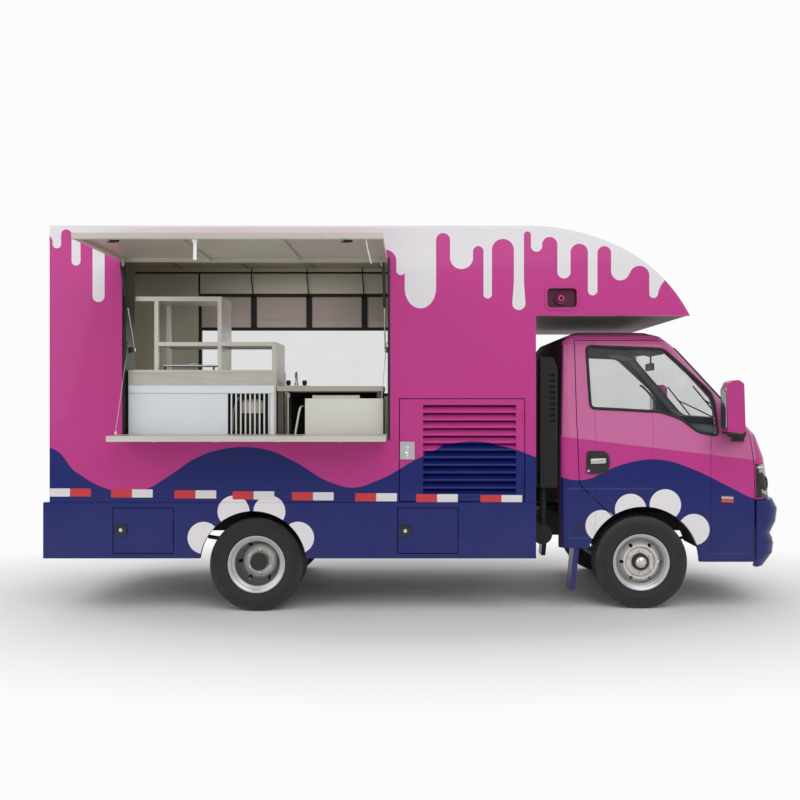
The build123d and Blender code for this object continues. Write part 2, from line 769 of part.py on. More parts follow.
def make_tank():
    tank = across(polygon(TANK_OUTLINE, 40), *TANK_Y)
    strap_y = (RAIL_OUTER, TANK_Y[0] + 2)
    straps = [block((x - 20, x + 20), strap_y, (RAIL_BASE + 10, RAIL_TOP - 10)) for x in TANK_STRAPS]
    keep("fuel_tank", tank, *straps)


def make_cab():
    outer = cab_form(0)
    skin = outer - cab_form(CAB_WALL)
    arch_x = FRONT_AXLE_X + ARCH_FORWARD
    wide = (-900, 900)
    nose = 2800
    lamp = polygon(LAMP_OUTLINE)
    cuts = [
        rod_y(ARCH_RADIUS, *wide, arch_x, AXLE_Z),
        block((BUMPER_REAR - 6, nose), wide, (200, BUMPER_TOP + 4)),
        block((900, arch_x), wide, (200, CAB_REAR_BASE)),
        block((900, BUMPER_REAR), (-DOOR_INNER, DOOR_INNER), (200, CAB_FLOOR_BASE)),
        block((arch_x, nose), wide, (200, CAB_SECTIONS[0][0] + 4)),
        along(polygon(WINDSCREEN_OUTLINE, SCREEN_CORNER), 1700, nose),
        *[door_zone(door_face(DOOR_LINE_GAP), side) for _, side in SIDES],
        *[on_side(lamp, side, LAMP_INNER, 900) for _, side in SIDES],
    ]
    PARTS["cab_shell"] = skin - cuts
    make_cab_floor()
    for name, side in SIDES:
        door = door_zone(door_face(-DOOR_LINE_GAP), side) - on_side(window_face(), side, 599, 901)
        PARTS[f"door_{name}"] = skin & door
    pane = cab_form(GLASS_INSET) - cab_form(GLASS_INSET + GLASS)
    for name, side in SIDES:
        PARTS[f"door_glass_{name}"] = pane & on_side(window_face(-GLASS_MARGIN), side, 600, 900)
    screen = [(y * 0.9995, z) for y, z in WINDSCREEN_OUTLINE]
    PARTS["windscreen"] = pane & along(polygon(screen, SCREEN_CORNER), 1700, nose)
    shell = cab_form(-LAMP_OUT) - cab_form(LAMP_DEEP)
    inner_lamp = offset(lamp, amount=-2, kind=Kind.INTERSECTION)
    keep_apart("headlamps", [shell & on_side(inner_lamp, side, LAMP_INNER + 2, 900) for _, side in SIDES])
    return outer


def make_cab_floor():
    _, rear, front, half, corner, bow = CAB_SECTIONS[2]
    inset = CAB_WALL + CAB_FLOOR_GAP
    plan = cab_plan(rear + CAB_WALL, front - inset, half - inset, corner - inset, bow)
    floor = extrude(Pos(0, 0, CAB_FLOOR_BASE) * plan, amount=CAB_FLOOR)
    rails = [sideways(side, (RAIL_INNER, RAIL_OUTER)) for _, side in SIDES]
    mounts = [block((x - 40, x + 40), y, (RAIL_TOP, CAB_FLOOR_BASE)) for x in CAB_MOUNTS for y in rails]
    keep("cab_floor", floor, *mounts)


def make_bumper():
    outer, inner = [], []
    for height, front in BUMPER_SECTIONS:
        outer.append(Pos(0, 0, height) * cab_plan(BUMPER_REAR - 500, front, 820, 200, 90))
        inner.append(Pos(0, 0, height) * cab_plan(BUMPER_REAR - 540, front - 45, 775, 160, 90))
    shape = loft(outer, ruled=True) - loft(inner, ruled=True)
    shape = shape & block((BUMPER_REAR, 2760), (-900, 900), (300, BUMPER_TOP))
    shape = shape - along(polygon(GRILLE_OUTLINE, 20), 2400, 2800)
    bars = [block(GRILLE_BAR_X, (-470, 470), (low, low + GRILLE_BAR)) for low in GRILLE_BARS]
    rails = [sideways(side, (RAIL_INNER, RAIL_OUTER)) for _, side in SIDES]
    brackets = [block((RAIL_FRONT, 2600), y, BUMPER_BRACKET) for y in rails]
    keep("front_bumper", shape, *bars, *brackets)


def make_liners():
    arch_x = FRONT_AXLE_X + ARCH_FORWARD
    tie_z = (AXLE_Z + ARCH_RADIUS - 7, CAB_FLOOR_BASE)
    liners = []
    for _, side in SIDES:
        low, high = sideways(side, LINER_Y)
        opening = rod_y(ARCH_RADIUS, low - 1, high + 1, arch_x, AXLE_Z)
        ring = rod_y(ARCH_RADIUS + LINER_THICK, low, high, arch_x, AXLE_Z)
        ring = ring - block((900, 2400), (low - 2, high + 2), (-200, LINER_BASE))
        ties = [block((x - 15, x + 15), (low, high), tie_z) for x in (arch_x - 60, arch_x + 60)]
        liners.append(fused([ring, *ties]) - opening)
    keep_apart("wheel_liners", liners)


def make_mirrors(cab_outer):
    for name, side in SIDES:
        housing = on_side(polygon(MIRROR_OUTLINE, 26), side, MIRROR_INNER, MIRROR_REACH)
        stalk = [block(x, sideways(side, y), z) for x, y, z in (MIRROR_FOOT, MIRROR_ARM)]
        PARTS[f"mirror_{name}"] = housing + (fused(stalk) - cab_outer)


def make_cab_inside():
    dash = across(polygon(DASH_OUTLINE, 18), -DASH_HALF, DASH_HALF) & cab_form(CAB_WALL + DASH_GAP)
    place = Pos(*STEERING_CENTRE) * Rot(0, STEERING_TILT, 0)
    column = place * Pos(0, 0, -165) * Cylinder(22, 330)
    wheel = place * Torus(STEERING_RADIUS, 14)
    hub = place * Cylinder(45, 30)
    spoke = Pos(100, 0, 0) * Box(STEERING_RADIUS, 26, 12)
    spokes = [place * Rot(0, 0, turn) * spoke for turn in (0, 120, 240)]
    keep("dashboard", dash, column, wheel, hub, *spokes)
    seats = []
    for centre in (-SEAT_Y, SEAT_Y):
        pieces = [
            across(polygon(outline, corner), centre - half, centre + half)
            for outline, corner, half in SEAT_PIECES
        ]
        seats.append(fused(pieces))
    keep_apart("seats", seats)


def make_intake():
    duct = across(polygon(INTAKE_OUTLINE, 14), *INTAKE_Y)
    slot_y = (INTAKE_Y[0] - 10, INTAKE_Y[0] + 15)
    for index in range(INTAKE_SLOTS):
        low = INTAKE_SLOT_BASE + INTAKE_SLOT_PITCH * index
        duct = duct - block((934, 976), slot_y, (low, low + INTAKE_SLOT))
    pipe = rod_z(26, 600, 890, 900, -700)
    drum = rod_y(73, -760, -560, 886, 540)
    brackets = [block((BOX_FRONT, 870), (-730, -660), (z, z + 40)) for z in INTAKE_BRACKETS]
    keep("air_intake", duct, pipe, drum, *brackets)


def make_box_sides():
    outline = box_outline()
    skin_right = (-BOX_HALF - 1, -BOX_HALF + WALL + 1)
    skin_left = (BOX_HALF - WALL - 1, BOX_HALF + 1)
    right = eased(across(outline, -BOX_HALF, -BOX_HALF + WALL), -BOX_HALF)
    opening = block((OPENING_REAR, OPENING_FRONT), skin_right, (OPENING_BASE, OPENING_TOP))
    louvre = block((LOUVRE_REAR, LOUVRE_FRONT), skin_right, (LOUVRE_BASE, LOUVRE_TOP))
    horn = across(polygon(upright(*HORN_PAN, 12), 30), *skin_right)
    PARTS["box_side_right"] = right - opening - louvre - horn
    left = eased(across(outline, BOX_HALF - WALL, BOX_HALF), BOX_HALF)
    PARTS["box_side_left"] = left - block((WINDOW_REAR, WINDOW_FRONT), skin_left, (WINDOW_BASE, WINDOW_TOP))


def make_box_ends():
    inside = BOX_HALF - WALL
    roof = across(box_outline() - box_outline(WALL), -inside, inside)
    through = (-inside - 1, inside + 1)
    roof = roof - block((BOX_REAR - 1, BOX_FRONT), through, (BOX_BASE - 1, BOX_TOP - WALL))
    roof = roof - block((BOX_FRONT - 1, 3000), through, (NOSE_BASE - 1, NOSE_BASE + NOSE_FLOOR))
    keep("box_roof", roof)
    wall = block((BOX_FRONT - WALL, BOX_FRONT), (-inside, inside), (FLOOR_TOP, NOSE_BASE))
    nose_floor_x = (BOX_FRONT - WALL, nose_floor_end())
    nose_floor = block(nose_floor_x, (-inside, inside), (NOSE_BASE, NOSE_BASE + NOSE_FLOOR))
    keep("box_front", wall, nose_floor)
    door_y = (REAR_DOOR_RIGHT, REAR_DOOR_RIGHT + REAR_DOOR_WIDTH)
    doorway = block((BOX_REAR - 1, BOX_REAR + WALL + 1), door_y, (REAR_DOOR_BASE, REAR_DOOR_TOP))
    rear = block((BOX_REAR, BOX_REAR + WALL), (-inside, inside), (FLOOR_TOP, BOX_TOP - WALL))
    keep("box_rear", rear - doorway)


def make_rear_door():
    gap = DOOR_GAP
    right, left = REAR_DOOR_RIGHT, REAR_DOOR_RIGHT + REAR_DOOR_WIDTH
    face = BOX_REAR
    door_z = (REAR_DOOR_BASE + gap, REAR_DOOR_TOP - gap)
    door = block((face, face + WALL - 4), (right + gap, left - gap), door_z)
    side = REAR_WINDOW_SIDE
    pane = polygon(upright(right + side, left - side, REAR_WINDOW_BASE, REAR_WINDOW_TOP), 50)
    door = door - along(pane, face - 1, face + WALL)
    handle_y = (right + 60, right + 84)
    grip = block((face - 34, face - 22), handle_y, (1450, 1620))
    posts = [block((face - 30, face), (right + 62, right + 82), (z, z + 20)) for z in (1455, 1595)]
    pins = [rod_z(REAR_PIN, z - 40, z + 40, face - 1, left - gap) for z in (1050, 1750, 2450)]
    keep("rear_door", door, grip, *posts, *pins)
    keep("rear_door_glass", along(pane, face + 12, face + 12 + GLASS))


def make_skirts():
    outer = BOX_HALF + SKIRT_PROUD
    inner = outer - SKIRT_WALL
    face = polygon(upright(SKIRT_REAR, BOX_FRONT, SKIRT_BASE, BOX_BASE))
    face = face - Pos(REAR_ARCH_X, REAR_ARCH_Z) * Circle(REAR_ARCH_RADIUS)
    for name, side in SIDES:
        skirt = across(face, *ordered(side * inner, side * outer))
        if side < 0:
            for start in LOCKERS.values():
                span = (start, start + LOCKER_LENGTH)
                skirt = skirt - block(span, (-outer - 1, -inner + 1), (LOCKER_BASE, LOCKER_TOP))
        keep(f"skirt_{name}", skirt)
    face_x = SKIRT_REAR + BACK_SET
    back = block((face_x, SKIRT_REAR + SKIRT_WALL), (-inner, inner), (SKIRT_BASE, BOX_BASE))
    lamps = []
    for _, side in SIDES:
        recess = sideways(side, TAIL_LAMP_Y)
        back = back - block((face_x - 1, face_x + TAIL_LAMP_DEEP), recess, TAIL_LAMP_Z)
        lamp_y = (recess[0] + 1, recess[1] - 1)
        lamp_z = (TAIL_LAMP_Z[0] + 1, TAIL_LAMP_Z[1] - 1)
        lamps.append(block((SKIRT_REAR + 2, face_x + TAIL_LAMP_DEEP), lamp_y, lamp_z))
    tie_x = (SKIRT_REAR + SKIRT_WALL, RAIL_REAR)
    tie_z = (RAIL_BASE + 10, RAIL_TOP - 10)
    ties = [block(tie_x, sideways(side, (RAIL_INNER, RAIL_OUTER)), tie_z) for _, side in SIDES]
    keep("rear_skirt", back, *ties)
    keep_apart("tail_lamps", lamps)


def make_lockers():
    outer = BOX_HALF + SKIRT_PROUD
    inner = outer - SKIRT_WALL
    back = LOCKER_DEPTH - inner
    wall = LOCKER_WALL
    lock_z = (LOCKER_BASE + LOCKER_TOP) / 2
    boxes = []
    for name, start in LOCKERS.items():
        end = start + LOCKER_LENGTH
        shell = block((start - wall, end + wall), (-inner, back), (LOCKER_BASE - wall, LOCKER_TOP + wall))
        boxes.append(shell - block((start, end), (-inner - 1, back - wall), (LOCKER_BASE, LOCKER_TOP)))
        door_x = (start + DOOR_GAP, end - DOOR_GAP)
        door = block(door_x, (-outer, -inner), (LOCKER_BASE + DOOR_GAP, LOCKER_TOP - DOOR_GAP))
        lock = block((start + 16, start + 96), (-outer - 5, -outer), (lock_z - 36, lock_z + 36))
        pins = [
            rod_z(LOCKER_PIN, z - 25, z + 25, door_x[1], -outer - 1) for z in (lock_z - 110, lock_z + 110)
        ]
        keep(f"locker_door_{name}", door, lock, *pins)
    keep_apart("locker_boxes", boxes)


def make_louvre_door():
    gap = DOOR_GAP
    y = (-BOX_HALF, -BOX_HALF + WALL - 2)
    middle = (y[0] + y[1]) / 2
    frame = block((LOUVRE_REAR + gap, LOUVRE_FRONT - gap), y, (LOUVRE_BASE + gap, LOUVRE_TOP - gap))
    frame = frame - block((SLAT_REAR, SLAT_FRONT), (y[0] - 1, y[1] + 1), (SLAT_BASE, SLAT_TOP))
    pitch = (SLAT_TOP - SLAT_BASE) / SLATS
    slat = Box(SLAT_FRONT - SLAT_REAR + 8, SLAT_WIDTH, SLAT_THICK)
    slats = []
    for index in range(SLATS):
        place = Pos((SLAT_REAR + SLAT_FRONT) / 2, middle, SLAT_BASE + pitch * (index + 0.5))
        slats.append(place * Rot(SLAT_ANGLE, 0, 0) * slat)
    plate = block((LOUVRE_REAR + 8, LOUVRE_REAR + 112), (y[0] - 6, y[0]), (1102, 1228))
    paddle = block((LOUVRE_REAR + 40, LOUVRE_REAR + 80), (y[0] - 16, y[0] - 6), (1140, 1200))
    hinge_x = LOUVRE_FRONT - gap - LOUVRE_PIN
    hinges = [rod_z(LOUVRE_PIN, z - 40, z + 40, hinge_x, y[0] - 3) for z in (930, 1400)]
    keep("louvre_door", frame, *slats, plate, paddle, *hinges)


def make_awning():
    hinge_y = -BOX_HALF - HINGE_OUT
    near = hinge_y - FLAP_CLEAR
    far = near - AWNING_REACH
    rear, front = OPENING_REAR + FLAP_CLEAR, OPENING_FRONT - FLAP_CLEAR
    top = OPENING_TOP - HINGE_OUT
    base = top - AWNING_THICK
    inner_y = (far + AWNING_FRAME, near - AWNING_FRAME)
    panel = block((rear, front), (far, near), (base, top))
    inner_x = (rear + AWNING_FRAME, front - AWNING_FRAME)
    panel = panel - block(inner_x, inner_y, (base - 1, top - AWNING_SKIN))
    thirds = (rear + (front - rear) / 3, rear + 2 * (front - rear) / 3)
    ribs = [block((x - 15, x + 15), inner_y, (base + 8, top - AWNING_SKIN)) for x in thirds]
    brackets = []
    pin_y, pin_z = strut_top()
    for strut_x, bracket_x in STRUT_XS.values():
        span = (bracket_x - 3, bracket_x + 3)
        brackets.append(block(span, (pin_y - 16, pin_y + 16), (pin_z - 14, base + 12)))
        brackets.append(rod_x(STRUT_PIN, *ordered(bracket_x, strut_x), pin_y, pin_z))
    keep("awning", panel, *ribs, *flap_hinges(OPENING_TOP, near, top), *brackets)


def flap_hinges(axis_z, near, face):
    """Hinge leaves on a flap's face, with knuckles round the hinge's axis."""
    axis_y = -BOX_HALF - HINGE_OUT
    solids = []
    for x in HINGE_XS:
        span = (x - HINGE_HALF, x + HINGE_HALF)
        solids.append(rod_x(HINGE_KNUCKLE, *span, axis_y, axis_z))
        solids.append(block(span, (near - 40, axis_y - 1), ordered(face, 2 * axis_z - face)))
    return solids


def make_counter():
    near = -BOX_HALF - HINGE_OUT - FLAP_CLEAR
    base = OPENING_BASE + HINGE_OUT
    x = (OPENING_REAR + FLAP_CLEAR, OPENING_FRONT - FLAP_CLEAR)
    shelf = block(x, (near - SHELF_REACH, near), (base, base + SHELF_THICK))
    keep("counter_shelf", shelf, *flap_hinges(OPENING_BASE, near, base))


def make_struts():
    top_y, top_z = strut_top()
    foot_y, foot_z = strut_foot()
    length = hypot(top_y - foot_y, top_z - foot_z)
    lean = degrees(atan2(foot_y - top_y, top_z - foot_z))
    rod_start = BARREL_START + BARREL_LENGTH - 30
    rod_end = length - 10
    barrels, rods = [], []
    for x, _ in STRUT_XS.values():
        place = Pos(x, top_y, top_z) * Rot(lean, 0, 0)
        across_pin = place * Rot(0, 90, 0)
        tube = Pos(0, 0, -BARREL_START - BARREL_LENGTH / 2) * Cylinder(BARREL_RADIUS, BARREL_LENGTH)
        neck = Pos(0, 0, -12) * Cylinder(6, 28)
        barrel = fused([place * tube, place * neck, across_pin * Cylinder(12, 12)])
        barrel = barrel - across_pin * Cylinder(STRUT_PIN + RUNNING_GAP, 20)
        bore = Pos(0, 0, -30 - BARREL_LENGTH / 2) * Cylinder(ROD_RADIUS + RUNNING_GAP, BARREL_LENGTH)
        barrels.append(barrel - place * bore)
        rod = Pos(0, 0, -(rod_start + rod_end) / 2) * Cylinder(ROD_RADIUS, rod_end - rod_start)
        eye = Pos(0, 0, -length) * Rot(0, 90, 0) * Cylinder(11, 12)
        rods.append(place * rod + place * eye)
    keep_apart("strut_barrels", barrels)
    keep_apart("strut_rods", rods)


def make_jambs():
    inside = -BOX_HALF + WALL
    foot_y, foot_z = strut_foot()
    edges = {"rear": (OPENING_REAR, -1), "front": (OPENING_FRONT, 1)}
    panels = []
    for name, (strut_x, _) in STRUT_XS.items():
        edge, out = edges[name]
        panel_x = ordered(edge, edge + out * JAMB_THICK)
        panel_z = (OPENING_BASE - 200, OPENING_TOP + 100)
        panel = block(panel_x, (inside, inside + JAMB_DEPTH), panel_z)
        lug_x = ordered(edge, strut_x + out * 8)
        lug = block(lug_x, (foot_y - 20, foot_y + 20), (foot_z - 20, foot_z + 20))
        panels.append(panel + lug)
    keep_apart("jamb_panels", panels)


def make_window():
    y = (BOX_HALF - WALL, BOX_HALF - 4)
    through = (y[0] - 1, y[1] + 1)
    pane_y = (y[0] + 14, y[0] + 14 + GLASS)
    bar = WINDOW_BAR
    frame = block((WINDOW_REAR, WINDOW_FRONT), y, (WINDOW_BASE, WINDOW_TOP))
    pitch = (WINDOW_FRONT - WINDOW_REAR) / WINDOW_PANES
    panes = [((WINDOW_REAR + bar, WINDOW_FRONT - bar), (WINDOW_BASE + bar, WINDOW_RAIL - bar / 2))]
    for index in range(WINDOW_PANES):
        start = WINDOW_REAR + pitch * index + WINDOW_POST / 2
        panes.append(((start, start + pitch - WINDOW_POST), (WINDOW_RAIL + bar / 2, WINDOW_TOP - bar)))
    glass = []
    for x, z in panes:
        frame = frame - block(x, through, z)
        glass.append(block(x, pane_y, z))
    keep("side_window_frame", frame)
    keep_apart("side_window_glass", glass)


def make_display_counter():
    front = COUNTER_Y[0]
    base = block(COUNTER_X, COUNTER_Y, (FLOOR_TOP, COUNTER_TOP))
    for x in WELLS:
        base = base - block(x, WELL_Y, (COUNTER_TOP - WELL_DEEP, COUNTER_TOP + 1))
    base = base - block(GRILLE_X, (front - 1, front + GRILLE_DEEP), GRILLE_Z)
    bars = [
        block((x, x + GRILLE_BAR_WIDE), (front + 4, front + 14), GRILLE_Z)
        for x in range(GRILLE_X[0] + 18, GRILLE_X[1] - 12, GRILLE_PITCH)
    ]
    rack = [block(x, (front, rear_y), z) for x, rear_y, z in RACK_SHELVES]
    for x, rear_y, top in RACK_POSTS:
        for y in (front, rear_y - RACK_POST):
            rack.append(block((x, x + RACK_POST), (y, y + RACK_POST), (COUNTER_TOP, top)))
    for x, rear_y, top in RACK_PANELS:
        rack.append(block((x, x + RACK_PANEL), (front + 3, rear_y), (COUNTER_TOP, top)))
    keep("display_counter", base, *bars, *rack)


def make_worktop():
    front, back = COUNTER_Y
    base = WORKTOP_TOP - WORKTOP_THICK
    top = block(WORKTOP_X, COUNTER_Y, (base, WORKTOP_TOP))
    cabinet = block((CABINET_REAR, WORKTOP_X[1]), (front + 20, back), (FLOOR_TOP, CABINET_TOP))
    shelf_x = (WORKTOP_X[0] + 16, CABINET_REAR + 10)
    shelf = block(shelf_x, (front + 30, back - 10), (FLOOR_TOP, WORKTOP_SHELF_TOP))
    legs = [
        block((x, x + LEG), (y, y + LEG), (FLOOR_TOP, base))
        for x in (WORKTOP_X[0] + 6, WORKTOP_X[1] - LEG - 5)
        for y in (front + 22, back - LEG - 5)
    ]
    keep("worktop", top, cabinet, shelf, *legs)


def make_horn():
    middle_x, middle_z = (HORN_PAN[0] + HORN_PAN[1]) / 2, (HORN_PAN[2] + HORN_PAN[3]) / 2
    face = -BOX_HALF
    rim = across(polygon(upright(*HORN_PAN), 36), face - 6, face)
    rim = rim - across(polygon(upright(*HORN_PAN, 16), 26), face - 7, face + 1)
    pan = across(polygon(upright(*HORN_PAN, 14), 28), face - 1, face + WALL - 2)
    pan = pan - across(polygon(upright(*HORN_PAN, 18), 26), face - 2, face + WALL - 6)
    bell = turned(HORN_BELL, -1, BOX_HALF - WALL + 5, middle_x - 4, middle_z)
    keep("horn", rim, pan, bell)


def make_mud_flaps():
    flaps = [on_side(polygon(MUD_FLAP_OUTLINE), side, *MUD_FLAP_Y) for _, side in SIDES]
    keep_apart("mud_flaps", flaps)


def make_floor():
    inside = BOX_HALF - WALL
    reach = BOX_HALF + SKIRT_PROUD - SKIRT_WALL
    bearer_base = BOX_BASE - BEARER_DEEP
    pieces = [block((BOX_REAR, BOX_FRONT), (-inside, inside), (BOX_BASE, FLOOR_TOP))]
    for _, side in SIDES:
        rail_y = sideways(side, (RAIL_INNER, RAIL_OUTER))
        pieces.append(block((BOX_REAR, BOX_FRONT), rail_y, (RAIL_TOP, bearer_base)))
    for x in BEARERS:
        pieces.append(block((x - BEARER_HALF, x + BEARER_HALF), (-reach, reach), (bearer_base, BOX_BASE)))
    keep("box_floor", *pieces)


def make_equipment_bay():
    inside = -BOX_HALF + WALL
    back = inside + BAY_DEPTH
    x = (LOUVRE_REAR - 30, BOX_FRONT - WALL)
    roof = block(x, (inside, back), (BAY_TOP - BAY_PANEL, BAY_TOP))
    rear_wall = block(x, (back - BAY_PANEL, back), (FLOOR_TOP, BAY_TOP))
    end_wall = block((x[0], x[0] + BAY_PANEL), (inside, back), (FLOOR_TOP, BAY_TOP))
    keep("equipment_bay", roof, rear_wall, end_wall)


make_chassis()
make_springs()
make_front_axle()
make_knuckles()
make_front_wheels()
make_rear_wheels()
make_rear_axle()
make_engine()
make_exhaust()
make_tank()
cab_outer = make_cab()
make_bumper()
make_liners()
make_mud_flaps()
make_mirrors(cab_outer)
make_cab_inside()
make_intake()
make_box_sides()
make_box_ends()
make_floor()
make_rear_door()
make_skirts()
make_lockers()
make_louvre_door()
make_equipment_bay()
make_awning()
make_struts()
make_counter()
make_jambs()
make_window()
make_display_counter()
make_worktop()
make_horn()

os.makedirs("parts", exist_ok=True)
for node, shape in PARTS.items():
    export_step(Pos(0, OFFSET_Y, 0) * shape, f"parts/{node}.step")
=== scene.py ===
"""Dresses the packed ice cream truck with its paint, trim, wheels, glass and fittings.

Metres, +X forward, +Y to the vehicle's left, +Z up, ground at Z = 0. The vehicle's own middle
lies at Y = MIDDLE, because the awning moves the middle of the footprint to the serving side.
"""

import logging
from contextlib import contextmanager
from dataclasses import dataclass
from enum import Enum
from functools import lru_cache
from math import cos, pi, radians, sin
from typing import Callable, Iterator, Sequence

import bpy
from mathutils import Matrix, Vector
from mathutils.bvhtree import BVHTree


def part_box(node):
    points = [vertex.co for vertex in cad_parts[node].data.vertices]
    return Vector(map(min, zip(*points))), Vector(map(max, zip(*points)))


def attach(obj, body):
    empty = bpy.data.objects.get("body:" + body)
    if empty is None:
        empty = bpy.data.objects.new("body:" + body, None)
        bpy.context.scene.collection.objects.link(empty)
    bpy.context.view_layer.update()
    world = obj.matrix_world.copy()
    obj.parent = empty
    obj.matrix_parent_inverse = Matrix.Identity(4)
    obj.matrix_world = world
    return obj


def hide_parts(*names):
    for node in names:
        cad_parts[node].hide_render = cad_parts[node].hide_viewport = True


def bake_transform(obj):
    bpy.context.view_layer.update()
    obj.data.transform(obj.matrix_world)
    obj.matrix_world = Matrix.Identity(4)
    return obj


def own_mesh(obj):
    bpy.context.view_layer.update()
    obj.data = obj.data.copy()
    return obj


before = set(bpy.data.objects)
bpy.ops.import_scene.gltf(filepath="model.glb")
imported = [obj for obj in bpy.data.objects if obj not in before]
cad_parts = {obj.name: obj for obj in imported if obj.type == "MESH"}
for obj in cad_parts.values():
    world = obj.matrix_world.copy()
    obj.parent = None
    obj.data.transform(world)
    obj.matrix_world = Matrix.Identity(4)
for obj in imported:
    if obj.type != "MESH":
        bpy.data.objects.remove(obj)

LOG = logging.getLogger("ice cream truck")
MIDDLE = 0.437
BOX_HALF = 0.93
CAB_HALF = 0.817
AXLE_Z = 0.338
FRONT_AXLE_X = 1.607
REAR_AXLE_X = -1.194
SKIRT_PROUD = 0.008
FRONT_WHEEL_OUT = 0.708
REAR_WHEEL_OUT = 0.788
TWIN_SPACING = 0.215
LOUVRE_COUNT = 12
LOUVRE_PITCH = 0.652 / LOUVRE_COUNT
WINDOW_RAIL = 2.18
PLATE_HALF = 0.22
FACE_TURN = 0.9

Point = tuple[float, float, float]
Flat = tuple[float, float]
Colour = tuple[float, float, float]


class Axis(Enum):
    """The three directions of the shared frame."""

    X = 0
    Y = 1
    Z = 2

    @property
    def vector(self) -> Vector:
        """The direction as a unit vector."""
        return Vector([float(index == self.value) for index in range(3)])


class Side(Enum):
    """The two sides of the vehicle, with the sign of their Y."""

    RIGHT = -1
    LEFT = 1

    @property
    def word(self) -> str:
        """The side's name in node and body names."""
        return self.name.lower()

    def y(self, out: float) -> float:
        """Y at a distance out from the vehicle's middle."""
        return MIDDLE + self.value * out


def srgb(red: int, green: int, blue: int) -> Colour:
    """A screen colour of 0 to 255 as the linear colour that shaders take."""
    linear = []
    for channel in (red, green, blue):
        share = channel / 255
        linear.append(share / 12.92 if share <= 0.04045 else ((share + 0.055) / 1.055) ** 2.4)
    return (linear[0], linear[1], linear[2])


def rect(left: float, base: float, right: float, top: float) -> tuple[Flat, ...]:
    """The four corners of a rectangle, from two opposite ones."""
    return ((left, base), (right, base), (right, top), (left, top))


def towards(axis: Axis, sign: float) -> Callable[[Vector, Vector], bool]:
    """A rule that picks the faces looking along an axis, or against it where the sign is below 0."""
    return lambda centre, normal: normal[axis.value] * sign > FACE_TURN


